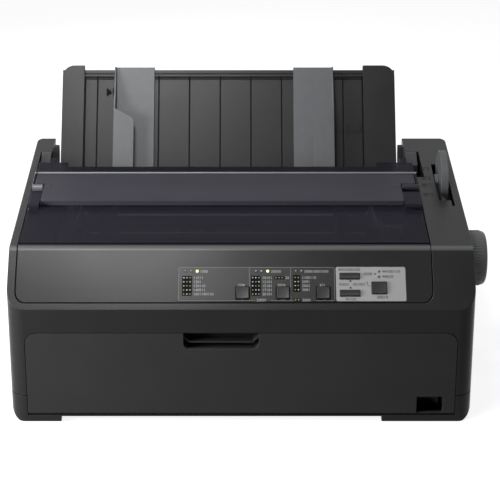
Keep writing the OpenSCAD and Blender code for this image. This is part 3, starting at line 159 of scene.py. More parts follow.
def corners(tree, radius):
    """1 on edges and corners, 0 on flat faces: a rounded normal there leaves the true one."""
    rounded = add(tree, "ShaderNodeBevel", {"Radius": radius * MM}, samples=4).outputs["Normal"]
    true = add(tree, "ShaderNodeNewGeometry").outputs["Normal"]
    match = add(tree, "ShaderNodeVectorMath", {0: rounded, 1: true}, operation="DOT_PRODUCT").outputs["Value"]
    return spread(tree, match, 1, 0, 0.75, 0.99)

# %% [markdown]
# ## Grained plastic
# The case is moulded against a spark-eroded steel tool, which leaves a grain of tiny pits and breaks up every
# reflection. The pits could be modelled, but at half a millimetre they would cost millions of faces. So a
# bump from fine noise gives the grain, and a broader noise moves the gloss a little from place to place.
# Corners are painted lighter, as wear and as painted sheen, and the bend from top to slope gets a painted
# highlight.

# %% Grained plastic
def grained(name, colour, roughness=0.27, specular=0.08, grain=0.5, depth=0.012, corner_wear_and_sheen=1.35, bend_highlight=None):
    """Moulded grained plastic; corners lighter by wear and painted sheen. bend_highlight: (y, z, reach) of a
    painted highlight.
    """
    material, tree, shader, place = start(name, colour, roughness, specular)
    pits = cloud(tree, place, grain, 3.0)
    patches = cloud(tree, place, 45)
    tint = between(tree, spread(tree, patches, 0, 1), shade(colour, 0.94), shade(colour, 1.06))
    tint = between(tree, spread(tree, pits, 0, 0.35), tint, shade(colour, 1.25))
    # Corners painted lighter: partly wear, partly a painted sheen.
    tint = between(tree, corners(tree, 0.5), tint, shade(colour, corner_wear_and_sheen))
    # Painted highlight: a bright line along the bend, where the base colour is 5.5 times lighter.
    if bend_highlight is not None:
        line_y, line_z, reach = bend_highlight
        section = add(tree, "ShaderNodeVectorMath", {0: place, 1: (0, 1, 1)}, operation="MULTIPLY")
        ends = {0: section.outputs["Vector"], 1: (0, line_y, line_z)}
        away = add(tree, "ShaderNodeVectorMath", ends, operation="DISTANCE")
        on_highlight = spread(tree, away.outputs["Value"], 1, 0, 0.55 * reach, reach)
        tint = between(tree, on_highlight, tint, shade(colour, 5.5))
    tree.links.new(tint, shader.inputs["Base Color"])
    gloss = add(tree, "ShaderNodeMath", {
        0: spread(tree, pits, roughness - 0.05, roughness + 0.05), 1: spread(tree, patches, -0.02, 0.02),
    }, operation="ADD").outputs["Value"]
    tree.links.new(gloss, shader.inputs["Roughness"])
    raise_surface(tree, shader, pits, depth)
    return material


# The smoked cover's sheet lies level with the case's top: the way it faces, and its height along that way
sheet = max(NODES["printer_cover"].data.polygons, key=lambda face: face.area if face.normal.z > 0.9 else 0)
SHEET = (sheet.normal.copy(), sheet.center.dot(sheet.normal))
# The line along the bend where a highlight is painted into the case's colour.
BEND_AHEAD, BEND_BELOW, BEND_REACH = 8.8, 0.6, 3.4     # from the cover's front edge and the sheet, millimetres
bend_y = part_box("printer_cover")[0].y - BEND_AHEAD * MM
bend_z = (SHEET[1] - bend_y * SHEET[0].y) / SHEET[0].z - BEND_BELOW * MM
BEND_HIGHLIGHT = (bend_y, bend_z, BEND_REACH * MM)
print("the bend is at", [round(value / MM, 1) for value in BEND_HIGHLIGHT])

# %% Grained finishes
CHARCOAL = (0.0084, 0.0084, 0.0086)
FINISH = {
    "case": grained("case_plastic", CHARCOAL, bend_highlight=BEND_HIGHLIGHT),
    "panel": grained("panel_plastic", CHARCOAL, 0.23, bend_highlight=BEND_HIGHLIGHT),
    "front_cover": grained("front_cover_plastic", shade(CHARCOAL, 1.9), 0.5, 0.03),
    "guide": grained("guide_plastic", shade(CHARCOAL, 0.9), 0.31, 0.09, 0.6),
    "black_plastic": grained("inner_plastic", (0.006, 0.006, 0.0065), 0.5, 0.06),
    "keys": grained("key_plastic", shade(CHARCOAL, 1.3), 0.33, 0.12, 0.35, 0.008, 1.6),
    "rocker": grained("rocker_plastic", shade(CHARCOAL, 1.6), 0.33, 0.15, 0.4, 0.008, 1.5),
}
print(len(FINISH), "grained finishes")

# %% [markdown]
# ## Satin plastic
# The edge guides, the knob, the lever and the hinge blocks are a mid grey with an almost smooth skin. The
# flow of the plastic in the mould leaves long faint streaks. A wave pattern would repeat, so a noise that is
# stretched along the flow draws them.

# %% Satin plastic
def satin(name, colour, roughness=0.42, specular=0.3, streak=(1, 1, 0.12)):
    """Smooth moulded plastic with faint flow streaks along one direction."""
    material, tree, shader, place = start(name, colour, roughness, specular)
    flow = cloud(tree, place, 5, 2.0, streak)
    skin = cloud(tree, place, 0.7, 2.0)
    tint = between(tree, spread(tree, flow, 0, 1), shade(colour, 0.96), shade(colour, 1.05))
    # Edges and corners painted lighter: partly wear, partly a painted sheen.
    tint = between(tree, corners(tree, 0.5), tint, shade(colour, 1.25))
    tree.links.new(tint, shader.inputs["Base Color"])
    tree.links.new(spread(tree, skin, roughness - 0.04, roughness + 0.04), shader.inputs["Roughness"])
    raise_surface(tree, shader, skin, 0.008)
    return material


FINISH["edge_guide"] = satin("edge_guide_plastic", (0.048, 0.050, 0.053), 0.33, 0.11)
FINISH["knob"] = satin("knob_plastic", (0.070, 0.073, 0.075), 0.4, 0.15, (0.12, 1, 1))
FINISH["light_plastic"] = satin("hinge_block_plastic", (0.026, 0.027, 0.029), 0.4, 0.08)
FINISH["lever"] = satin("lever_plastic", (0.050, 0.052, 0.054), 0.4, 0.12)
FINISH["natural"] = satin("gear_plastic", (0.62, 0.60, 0.53), 0.35, 0.4, (1, 1, 1))
print("satin finishes added")

# %% [markdown]
# ## Smoked plastic
# The top cover is dark smoked acrylic: it lets through a little of what lies under it. Real refraction would
# need many light paths and stays noisy, so each face of the sheet simply covers the view by the same share,
# and light that crosses both faces is dimmed twice. The hinge towers above the sheet are so thick that
# nothing shows through, so there the share grows almost to one. The flap is the same material with a hazier
# face, rubbed by the paper that leaves over it.

# %% Smoked plastic
def smoked(name, colour, cover, roughness, specular, haze, thick_above=None):
    """Dark clear plastic. cover is the share of the view that a face hides, and nearly all above a sheet."""
    material, tree, shader, place = start(name, colour, roughness, specular)
    if thick_above is None:
        shader.inputs["Alpha"].default_value = cover
    else:
        out, level = thick_above
        height = add(tree, "ShaderNodeVectorMath", {0: place, 1: tuple(out)}, operation="DOT_PRODUCT")
        hidden = spread(tree, height.outputs["Value"], cover, 0.97, level + 0.1 * MM, level + 0.6 * MM)
        tree.links.new(hidden, shader.inputs["Alpha"])
    rub = cloud(tree, place, 30, 3.0, (1, 0.4, 1))
    fine = cloud(tree, place, 0.45, 2.0)
    tint = between(tree, spread(tree, rub, 0, 1), shade(colour, 0.95), shade(colour, 1.08))
    tint = between(tree, spread(tree, fine, 0, haze), tint, shade(colour, 1.5))
    tree.links.new(tint, shader.inputs["Base Color"])
    tree.links.new(spread(tree, rub, roughness - 0.02, roughness + 0.03), shader.inputs["Roughness"])
    raise_surface(tree, shader, fine, 0.006 * haze)
    return material


FINISH["smoke"] = smoked("smoked_cover", (0.0086, 0.0081, 0.0120), 0.82, 0.25, 0.012, 0.2, SHEET)
FINISH["smoke_flap"] = smoked("smoked_flap", (0.0225, 0.0215, 0.0270), 0.95, 0.33, 0.02, 0.6)
print("smoked finishes added")

# %% [markdown]
# ## Metals, rubber, boards and films
# The mechanism has ground steel shafts, zinc-plated sheet, a cast print head and rubber on the platen. Turned
# bars show fine rings, so their noise is squeezed along the bar; plated sheet shows soft crystals, which
# Voronoi cells draw. The labels are printed film, smoother than the case around them.

# %% Metals
def turned(name, colour, roughness):
    """A ground bar: fine rings around the X axis."""
    material, tree, shader, place = start(name, colour, roughness, 0.5, 1.0)
    rings = cloud(tree, place, 6, 3.0, (20, 1, 1))
    stain = cloud(tree, place, 25)
    tree.links.new(between(tree, stain, shade(colour, 0.8), colour), shader.inputs["Base Color"])
    tree.links.new(spread(tree, rings, roughness - 0.08, roughness + 0.1), shader.inputs["Roughness"])
    raise_surface(tree, shader, rings, 0.01)
    return material


def plated(name, colour, roughness, crystal=7):
    """Plated sheet: soft crystals of slightly different grey and gloss."""
    material, tree, shader, place = start(name, colour, roughness, 0.5, 1.0)
    cells = add(tree, "ShaderNodeTexVoronoi", {"Vector": place, "Scale": 1 / (crystal * MM)}).outputs["Color"]
    level = add(tree, "ShaderNodeSeparateColor", {"Color": cells}).outputs["Red"]
    tint = between(tree, level, shade(colour, 0.82), shade(colour, 1.06))
    tree.links.new(tint, shader.inputs["Base Color"])
    tree.links.new(spread(tree, level, roughness - 0.08, roughness + 0.12, 0, 1), shader.inputs["Roughness"])
    raise_surface(tree, shader, cloud(tree, place, 1.2), 0.01)
    return material


FINISH["steel"] = turned("ground_steel", (0.56, 0.56, 0.58), 0.28)
FINISH["sheet_steel"] = plated("zinc_sheet", (0.50, 0.50, 0.52), 0.42)
FINISH["motor"] = plated("motor_can", (0.30, 0.30, 0.32), 0.4, 12)
FINISH["brass"] = turned("brass", (0.62, 0.46, 0.18), 0.3)
FINISH["head_alloy"] = plated("cast_alloy", (0.34, 0.34, 0.36), 0.5, 2)
print("metals added")

# %% Rubber, board and films
def rubber(name, colour, roughness, grain):
    """Matt rubber with a ground skin."""
    material, tree, shader, place = start(name, colour, roughness, 0.2)
    skin = cloud(tree, place, grain, 4.0)
    tint = between(tree, spread(tree, skin, 0, 1), shade(colour, 0.8), shade(colour, 1.3))
    tree.links.new(tint, shader.inputs["Base Color"])
    tree.links.new(spread(tree, skin, roughness - 0.06, roughness + 0.06), shader.inputs["Roughness"])
    raise_surface(tree, shader, skin, 0.02)
    return material


def circuit_board(name, mask, copper):
    """A green board: copper lanes shine through the solder mask, square by square."""
    material, tree, shader, place = start(name, mask, 0.3, 0.5)
    lanes = add(tree, "ShaderNodeTexBrick", {
        "Vector": place, "Scale": 220.0, "Color1": (*mask, 1), "Color2": (*mask, 1), "Mortar": (*copper, 1),
        "Mortar Size": 0.05,
    })
    patches = cloud(tree, place, 9, 1.0)
    tint = between(tree, spread(tree, patches, 0, 1, 0.45, 0.55), mask, (1, 1, 1))
    tree.links.new(lanes.outputs["Color"], tint.node.inputs[7])
    tree.links.new(tint, shader.inputs["Base Color"])
    raise_surface(tree, shader, lanes.outputs["Fac"], 0.03)
    return material


def film(name, colour, roughness=0.38, specular=0.3):
    """Printed plastic film: an even colour with a fine silky skin."""
    material, tree, shader, place = start(name, colour, roughness, specular)
    silk = cloud(tree, place, 0.3, 2.0)
    tint = between(tree, spread(tree, silk, 0, 1), shade(colour, 0.95), shade(colour, 1.06))
    tree.links.new(tint, shader.inputs["Base Color"])
    tree.links.new(spread(tree, silk, roughness - 0.04, roughness + 0.04), shader.inputs["Roughness"])
    raise_surface(tree, shader, silk, 0.006)
    return material


FINISH["feet"] = rubber("foot_rubber", (0.018, 0.018, 0.018), 0.8, 0.8)
FINISH["platen_rubber"] = rubber("platen_rubber", (0.022, 0.022, 0.023), 0.6, 0.5)
FINISH["belt"] = rubber("belt_rubber", (0.02, 0.02, 0.02), 0.7, 0.6)
FINISH["board"] = circuit_board("circuit_board", (0.012, 0.075, 0.03), (0.03, 0.14, 0.055))
FINISH["dark_label"] = film("dark_film", (0.0125, 0.0125, 0.0128), 0.27, 0.1)
FINISH["light_label"] = film("light_film", (0.165, 0.165, 0.166), 0.4, 0.08)
INK = {
    "grey": film("grey_ink", (0.19, 0.19, 0.193), 0.5, 0.05),
    "line": film("line_ink", (0.095, 0.095, 0.097), 0.5, 0.05),
    "white": film("white_ink", (0.30, 0.30, 0.29), 0.5, 0.05),
    "green": film("green_ink", (0.14, 0.20, 0.08), 0.5, 0.05),
    "black": film("black_ink", (0.004, 0.004, 0.004), 0.7, 0.02),
    "dark": film("dark_ink", (0.010, 0.010, 0.011), 0.6, 0.05),
}
FINISH["lamps"] = film("light_pipe", (0.30, 0.32, 0.28), 0.25)
FINISH_OF = {node: FINISH[slot] for node, slot in SLOT_OF.items()}
FINISH_OF["release_lever"] = FINISH["lever"]       # darker than the knob in the photograph
for node, part in NODES.items():
    part.data.materials.clear()
    part.data.materials.append(FINISH_OF[node])
print("every working part has its finish:", len(NODES))

# %% [markdown]
# ## Rounded mouldings
# No moulded edge is knife sharp. The working parts have sharp edges, so each part that shows gets a skin: a
# copy with its loose triangles welded, its flat faces merged and its sharp edges rounded by a fraction of a
# millimetre. A bevel only needs the edges that turn by more than 30 degrees. Normals weighted by face area
# then keep the flat faces flat, and the small roundings catch the light as they do on the real printer.

# %% Rounded mouldings
WELD = 2e-6
FLAT = math.radians(0.2)
SHARP = math.radians(30)


def piece(name, mesh, finish, body):
    """Makes an object of a mesh and gives it a finish and a body to ride on."""
    made = bpy.data.objects.new(name, mesh)
    bpy.context.scene.collection.objects.link(made)
    if finish is not None:
        mesh.materials.clear()
        mesh.materials.append(finish)
    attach(made, body)
    return made


def weighted(mesh):
    """The same mesh, smooth, with normals that follow its larger faces."""
    mesh.polygons.foreach_set("use_smooth", [True] * len(mesh.polygons))
    holder = bpy.data.objects.new("holder", mesh)
    bpy.context.scene.collection.objects.link(holder)
    holder.modifiers.new("weigh", "WEIGHTED_NORMAL").weight = 100
    result = bpy.data.meshes.new_from_object(holder.evaluated_get(bpy.context.evaluated_depsgraph_get()))
    bpy.data.objects.remove(holder)
    return result


def welded(node):
    """A working part as one closed mesh with flat faces merged."""
    solid = bmesh.new()
    solid.from_mesh(NODES[node].data)
    bmesh.ops.remove_doubles(solid, verts=solid.verts, dist=WELD)
    bmesh.ops.dissolve_limit(
        solid, angle_limit=FLAT, verts=solid.verts, edges=solid.edges, delimit={"NORMAL"})
    return solid


def round_edges(solid, radius, segments=2):
    """Rounds the sharp edges of a mesh by radius millimetres."""
    sharp = [edge for edge in solid.edges if len(edge.link_faces) == 2 and edge.calc_face_angle(0) > SHARP]
    bmesh.ops.bevel(
        solid, geom=sharp, offset=radius * MM, offset_type="OFFSET", segments=segments, profile=0.5,
        affect="EDGES", clamp_overlap=False)


def to_mesh(solid, name):
    """Turns the bmesh into a smooth mesh and frees it."""
    mesh = bpy.data.meshes.new(name)
    solid.to_mesh(mesh)
    solid.free()
    return weighted(mesh)


def skin(node, radius, segments=2):
    """Replaces a working part by a copy with rounded edges that stays inside the part's own box."""
    solid = welded(node)
    round_edges(solid, radius, segments)
    low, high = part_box(node)
    for vertex in solid.verts:                     # a bevel at a slender corner can shoot out
        vertex.co = Vector([min(max(vertex.co[i], low[i]), high[i]) for i in range(3)])
    made = piece(node + "_skin", to_mesh(solid, node + "_skin"), FINISH_OF[node], BODY_OF[node])
    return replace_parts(made, node)


EDGE_RADIUS = {
    "upper_case": 0.45, "lower_case": 0.4, "control_housing": 0.3, "front_cover": 0.45, "front_paper_tray": 0.3,
    "printer_cover": 0.35, "exit_flap": 0.3, "hinge_blocks": 0.6, "guide_brackets": 0.4, "paper_guide": 0.4,
    "edge_guide_left": 0.45, "edge_guide_right": 0.45, "power_rocker": 0.4, "switch_housing": 0.3,
    "release_lever": 0.3, "thickness_lever": 0.4, "ribbon_cartridge": 0.5, "ribbon_knob": 0.25,
    "carriage": 0.3, "print_head": 0.25, "panel_label": 0.06, "key_label": 0.06, "rubber_feet": 0.4,
    "tractor_frame_left": 0.4, "tractor_frame_right": 0.4, "paper_chute": 0.2, "side_frames": 0.15,
    "mechanism_tray": 0.2, "head_rail": 0.2, "power_supply": 0.2, "stepper_motors": 0.25,
}
for node, radius in EDGE_RADIUS.items():
    skin(node, radius)
print(len(EDGE_RADIUS), "parts have rounded edges")

# %% [markdown]
# ## The bead along the flap's crest
# The flap ends behind in a rolled bead that stands up a little. Its round face mirrors the lamp in front and
# above, which makes the thin bright line across the photograph. The walls of the cover beside the flap carry
# the same bead. A bevelled edge of the flap would be too flat for that line, so the bead is a round bar with
# closed ends. Its colour is painted paler than the flap's, a painted highlight that brightens the line.

# %% Bars across the printer
def swept(outline, x0, x1):
    """A closed solid between two copies of an outline of Y and Z, at x0 and x1, all in metres."""
    solid = bmesh.new()
    rings = [[solid.verts.new((x, y, z)) for y, z in outline] for x in (x0, x1)]
    for i in range(len(outline)):
        j = (i + 1) % len(outline)
        solid.faces.new((rings[0][i], rings[1][i], rings[1][j], rings[0][j]))
    solid.faces.new(rings[0])
    solid.faces.new(rings[1][::-1])
    bmesh.ops.recalc_face_normals(solid, faces=solid.faces)
    return solid


def circle(y, z, radius, sides):
    """The outline of a round bar around a middle in Y and Z, its radius in millimetres."""
    turns = [2 * math.pi * i / sides for i in range(sides)]
    return [(y + radius * MM * math.cos(turn), z + radius * MM * math.sin(turn)) for turn in turns]

print("outlines can be swept across the printer")

# %% Crest bead
BEAD_R = 1.0
BEAD_RISE = 0.35                    # middle of the bead above the crest
BEAD_GAP = 0.5                      # between the flap's bead and the cover's
flap_low, flap_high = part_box("exit_flap")
cover_low, cover_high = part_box("printer_cover")
# The bead's pale colour is a painted highlight along the crest.
FINISH["bead"] = smoked("pale_bead_painted_highlight", (0.075, 0.074, 0.080), 1.0, 0.3, 0.3, 0.3)
crest = circle(flap_high.y - BEAD_R * MM, flap_high.z + BEAD_RISE * MM, BEAD_R, 24)
BEADS = (
    ("flap_bead", flap_low.x, flap_high.x, "exit_flap"),
    ("cover_bead_left", cover_low.x + 0.2 * MM, flap_low.x - BEAD_GAP * MM, "printer_cover"),
    ("cover_bead_right", flap_high.x + BEAD_GAP * MM, cover_high.x - 0.2 * MM, "printer_cover"),
)
for name, x0, x1, node in BEADS:
    piece(name, to_mesh(swept(crest, x0, x1), name), FINISH["bead"], BODY_OF[node])
print("bead", round((flap_high.x - flap_low.x) / MM, 1), "mm long")

# %% [markdown]
# ## The flap's hinge barrels
# At both ends of the flap a round barrel stands on a tower of the smoked cover. The flap has polished the
# barrels. A mask in the cover's finish could show that, but it would also reach the sheet behind. So each
# barrel gets a thin glossy sleeve, a round bar around the hinge axis. The left one's pale colour is a painted
# highlight.

# %% Hinge barrels
HINGE = {
    joint["name"]: Vector(joint["pos_m"]) for joint in frame["record"]["behaviour"]["joints"] if "pos_m" in joint
}
BARREL_R = 3.3
SLEEVE = 0.15                       # thickness of a sleeve
TOWER_WIDTH = (9.4, 15.6)           # left and right
TOWER_INSET = 1.0                   # the left tower starts this far inside the sheet
on_sheet = [
    vertex.co.x for vertex in NODES["printer_cover"].data.vertices
    if abs(vertex.co.dot(SHEET[0]) - SHEET[1]) < 0.05 * MM
]
left_x, right_x = min(on_sheet) + TOWER_INSET * MM, max(on_sheet)
TOWERS = (("barrel_left", left_x, left_x + TOWER_WIDTH[0] * MM),
          ("barrel_right", right_x - TOWER_WIDTH[1] * MM, right_x))
# The left sleeve's pale colour is a painted highlight.
SLEEVE_FINISH = (smoked("barrel_painted_highlight", (0.046, 0.044, 0.052), 1.0, 0.36, 0.3, 0.3),
                 smoked("dark_barrel", (0.009, 0.0085, 0.012), 1.0, 0.36, 0.08, 0.3))
axis = HINGE["exit_flap_hinge"]
around = circle(axis.y, axis.z, BARREL_R + SLEEVE, 32)
for (name, x0, x1), finish in zip(TOWERS, SLEEVE_FINISH):
    sleeve = swept(around, x0 - 0.05 * MM, x1 + 0.05 * MM)
    round_edges(sleeve, 0.12 * (BARREL_R + SLEEVE))
    piece(name, to_mesh(sleeve, name), finish, BODY_OF["printer_cover"])
print("cover from", round(min(on_sheet) / MM, 1), "to", round(max(on_sheet) / MM, 1), "mm")

# %% [markdown]
# ## Key caps
# Each key is a block with a shallow dish for the finger tip. A Boolean could cut the dish with a large ball,
# but it leaves slender faces. Here the largest face that looks up the slope is inset twice and its middle is
# lowered, and then every sharp edge is rounded.

# %% Key caps
KEYS = ["item_left_key", "item_right_key", "set_key", "load_key", "feed_key", "pause_key"]
SLOPE_OUT = Vector((0, -0.695, 0.719))


def key_cap(node, rim=1.0, dish=0.25):
    """A key with a dished top."""
    solid = welded(node)
    solid.normal_update()
    facing = [face for face in solid.faces if face.normal.dot(SLOPE_OUT) > 0.99]
    top = max(facing, key=lambda face: face.calc_center_median().dot(SLOPE_OUT))
    for depth in (0.0, -dish * MM):
        bmesh.ops.inset_region(solid, faces=[top], thickness=rim * MM, depth=depth, use_even_offset=True)
    round_edges(solid, 0.35, 3)
    made = piece(node + "_cap", to_mesh(solid, node + "_cap"), FINISH["keys"], BODY_OF[node])
    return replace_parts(made, node)


for node in KEYS:
    key_cap(node)
print(len(KEYS), "key caps")

# %% [markdown]
# ## Copies by Geometry Nodes
# Dots, lamps, screws and contact pins repeat. An Array modifier can only space them evenly, so one Geometry
# Nodes tree serves them all: it puts a copy of a small template on every point, turns it, realises the copies
# and gives them their finish. The result is turned into a plain mesh, and the points, the template and the
# modifier go.

# %% Copies by Geometry Nodes
def node_tree(name, inputs):
    """A new tree with a geometry input and output and the named inputs; also their identifiers."""
    tree = bpy.data.node_groups.new(name, "GeometryNodeTree")
    tree.interface.new_socket("Geometry", in_out="INPUT", socket_type="NodeSocketGeometry")
    tree.interface.new_socket("Geometry", in_out="OUTPUT", socket_type="NodeSocketGeometry")
    identifiers = {
        label: tree.interface.new_socket(label, in_out="INPUT", socket_type="NodeSocket" + kind).identifier
        for label, kind in inputs.items()
    }
    return tree, identifiers, tree.nodes.new("NodeGroupInput").outputs, tree.nodes.new("NodeGroupOutput").inputs


def run_tree(tree, identifiers, mesh, values):
    """Runs a tree on a mesh with the given inputs and returns the plain mesh that it makes."""
    holder = bpy.data.objects.new("holder", mesh)
    bpy.context.scene.collection.objects.link(holder)
    modifier = holder.modifiers.new("tree", "NODES")
    modifier.node_group = tree
    for label, value in values.items():
        modifier[identifiers[label]] = value
    result = bpy.data.meshes.new_from_object(holder.evaluated_get(bpy.context.evaluated_depsgraph_get()))
    holder.modifiers.remove(modifier)
    bpy.data.objects.remove(holder)
    return result


COPIES, COPY_INPUTS, given, sent = node_tree("copies_on_points", {
    "Template": "Object", "Turn": "Vector", "Finish": "Material",
})
template_mesh = add(COPIES, "GeometryNodeObjectInfo", {"Object": given["Template"]}).outputs["Geometry"]
copies = add(COPIES, "GeometryNodeInstanceOnPoints", {
    "Points": given["Geometry"], "Instance": template_mesh, "Rotation": given["Turn"],
}).outputs["Instances"]
real = add(COPIES, "GeometryNodeRealizeInstances", {"Geometry": copies}).outputs["Geometry"]
finished = add(COPIES, "GeometryNodeSetMaterial", {"Geometry": real, "Material": given["Finish"]})
COPIES.links.new(finished.outputs["Geometry"], sent["Geometry"])


def copies_on(places, template, turn, finish):
    """A plain mesh with the template copied to every place."""
    points = bpy.data.meshes.new("places")
    points.from_pydata(places, [], [])
    model = bpy.data.objects.new("template", template)
    bpy.context.scene.collection.objects.link(model)
    values = {"Template": model, "Turn": turn, "Finish": finish}
    result = run_tree(COPIES, COPY_INPUTS, points, values)
    bpy.data.objects.remove(model)
    return result


def turned_outline(outline, sides, name):
    """A solid of revolution around Z from (radius, height) points in millimetres, closed at both ends."""
    solid = bmesh.new()
    rings = []
    for radius, height in outline:
        angles = [2 * math.pi * i / sides for i in range(sides)]
        rings.append([solid.verts.new((radius * MM * math.cos(a), radius * MM * math.sin(a), height * MM))
                      for a in angles])
    for low, high in zip(rings, rings[1:]):
        for i in range(sides):
            j = (i + 1) % sides
            solid.faces.new((low[i], low[j], high[j], high[i]))
    solid.faces.new(rings[0][::-1])
    solid.faces.new(rings[-1])
    return to_mesh(solid, name)

print("the tree for copies has", len(COPIES.nodes), "nodes")

# %% [markdown]
# ## Faces to print on
# Print follows the face it lies on. `face_of` finds the widest face of a part that looks in a given direction
# and returns a matrix for it: x runs across the printer, y up the face and z out of it, in metres from its
# lower left corner. Everything printed is drawn flat in millimetres and then placed with such a matrix.

# %% Faces to print on
def face_of(node, toward):
    """A matrix for the widest face of a part that looks toward the given direction."""
    mesh = NODES[node].data
    toward = Vector(toward).normalized()
    widest = max(mesh.polygons, key=lambda face: face.area if face.normal.dot(toward) > 0.98 else 0)
    out = widest.normal.copy()
    across = Vector((1, 0, 0))
    up = out.cross(across)
    height = widest.center.dot(out)
    level = [vertex.co for vertex in mesh.vertices if abs(vertex.co.dot(out) - height) < 0.05 * MM]
    corner = across * min(p.x for p in level) + up * min(p.dot(up) for p in level) + out * height
    return Matrix((
        (across.x, up.x, out.x, corner.x), (across.y, up.y, out.y, corner.y),
        (across.z, up.z, out.z, corner.z), (0, 0, 0, 1),
    ))


def at(face, x, y, height=0.0):
    """A place on a face, from millimetres."""
    return face @ Vector((x * MM, y * MM, height * MM))


CAP_HEIGHT = 0.72                   # height of a digit as a share of the font's size


class Print:
    """Flat shapes of one ink, each a closed plate a few hundredths of a millimetre thick."""

    def __init__(self, face, base=0.03, thick=0.04):
        self.face, self.base, self.thick, self.solid = face, base, thick, bmesh.new()

    def shape(self, outline):
        """One plate with the given outline, anticlockwise."""
        low = [self.solid.verts.new(at(self.face, x, y, self.base)) for x, y in outline]
        high = [self.solid.verts.new(at(self.face, x, y, self.base + self.thick)) for x, y in outline]
        self.solid.faces.new(low[::-1])
        self.solid.faces.new(high)
        for i in range(len(outline)):
            j = (i + 1) % len(outline)
            self.solid.faces.new((low[i], low[j], high[j], high[i]))

    def bar(self, x0, y0, x1, y1):
        """A plain rectangle."""
        self.shape([(x0, y0), (x1, y0), (x1, y1), (x0, y1)])

    def number(self, text, x, y, height):
        """A number whose lower left corner is at x, y."""
        line = bpy.data.curves.new("number", "FONT")
        line.body = text
        line.size = height / CAP_HEIGHT * MM
        line.resolution_u = 2
        line.extrude = self.thick / 2 * MM
        holder = bpy.data.objects.new("number", line)
        flat = bpy.data.meshes.new_from_object(holder)
        bpy.data.objects.remove(holder)
        flat.transform(Matrix.Translation(Vector((x, y, self.base + self.thick / 2)) * MM))
        flat.transform(self.face)
        self.solid.from_mesh(flat)

    def finish(self, name, ink, body, slot):
        """Makes one piece of all the plates."""
        mesh = bpy.data.meshes.new(name)
        bmesh.ops.remove_doubles(self.solid, verts=self.solid.verts, dist=WELD)
        self.solid.to_mesh(mesh)
        self.solid.free()
        return piece(name, mesh, ink, body)


def round_box(x0, y0, x1, y1, radius, steps=5):
    """The outline of a rectangle with round corners, anticlockwise."""
    middles = [(x1 - radius, y0 + radius, -90), (x1 - radius, y1 - radius, 0),
               (x0 + radius, y1 - radius, 90), (x0 + radius, y0 + radius, 180)]
    outline = []
    for x, y, start_angle in middles:
        for i in range(steps + 1):
            angle = math.radians(start_angle + 90 * i / steps)
            outline.append((x + radius * math.cos(angle), y + radius * math.sin(angle)))
    return outline


DARK_FACE = face_of("panel_label", SLOPE_OUT)
LIGHT_FACE = face_of("key_label", SLOPE_OUT)
GUIDE_FACE = face_of("paper_guide", (0, -0.808, 0.589))
TOP_FACE = face_of("upper_case", (0, -0.068, 0.998))
FACES = (("dark label", DARK_FACE), ("light label", LIGHT_FACE), ("guide", GUIDE_FACE), ("top", TOP_FACE))
for title, face in FACES:
    print(title, "starts at", [round(value / MM, 1) for value in face.to_translation()])

# %% [markdown]
# ## The control panel's print
# A thin grey frame with two dividers surrounds the dark half of the panel. Black tables hold rows of white
# and green dots that show what the lamps mean, and each row has a plain number. An image could hold all of
# it, but flat plates a few hundredths of a millimetre thick stay sharp at any distance. The frame is made of
# strips between two round boxes, and a black ring of painted shade, made the same way, runs around each key.

# %% Frame and tables of the dark label
LABEL_W, LABEL_L = 134.0, 31.7
FRAME_INSET, FRAME_CORNER = 0.3, 1.8                  # from the label's edge to the frame, and its corner radius
LINE = 0.4
DIVIDERS = (60.8, 96.1)
FOOT_LINES = ((2.0, 65.6), (78.6, 98.4), (117.4, LABEL_W - 2.0))    # what is drawn of the frame's lower side
DOT_PITCH = (2.62, 3.76)

frame_line = Print(DARK_FACE)
grey = Print(DARK_FACE)


def stroke(ink, outer, inner, skip):
    """A strip between two outlines of equal length, leaving out the stretches that skip names."""
    for i in range(len(outer)):
        j = (i + 1) % len(outer)
        if not skip(outer[i], outer[j]):
            ink.shape([outer[i], outer[j], inner[j], inner[i]])


outer, inner = [
    round_box(inset, inset, LABEL_W - inset, LABEL_L - inset, FRAME_CORNER + FRAME_INSET - inset)
    for inset in (FRAME_INSET, FRAME_INSET + LINE)
]
stroke(frame_line, outer, inner, lambda a, b: max(a[1], b[1]) < FRAME_INSET + 0.1)
for x0, x1 in FOOT_LINES:
    frame_line.bar(x0, FRAME_INSET, x1, FRAME_INSET + LINE)
for x in DIVIDERS:
    frame_line.bar(x - LINE / 2, FRAME_INSET + LINE, x + LINE / 2, LABEL_L - FRAME_INSET - LINE)
frame_line.finish("label_frame", INK["line"], "chassis", "dark_label")

black = Print(DARK_FACE)
TABLES = [
    # left edge, lower edge, right edge, upper edge, first dot and the rows of dots from the top
    (3.4, 5.0, 11.7, 23.4, (4.95, 21.6), ["wwg", "wgw", "wgg", "gww", "gwg"]),
    (62.2, 5.0, 70.5, 23.4, (63.75, 21.6), ["wwg", "wgw", "wgg", "gww", "gwg"]),
    (98.2, 8.4, 104.3, 24.2, (99.95, 21.8), ["gg", "ww", "wg", "gw"]),
    (82.0, 20.1, 90.7, 23.1, (83.6, 21.6), ["ggg"]),
    (98.3, 0.1, 104.6, 2.4, (100.1, 1.2), ["gg"]),
]
PRINT_TOP = black.base + black.thick    # the dots lie on the tables' ink
dots = {"w": [], "g": []}
for x0, y0, x1, y1, first, rows in TABLES:
    black.shape(round_box(x0, y0, x1, y1, 0.9))
    for row, line in enumerate(rows):
        for column, kind in enumerate(line):
            x, y = first[0] + column * DOT_PITCH[0], first[1] - row * DOT_PITCH[1]
            dots[kind].append(at(DARK_FACE, x, y, PRINT_TOP))
KEY_FLANGE, KEY_HALF_LENGTH, KEY_PLAY, KEY_SHADE_RING = 1.0, 5.35, 0.15, 0.9
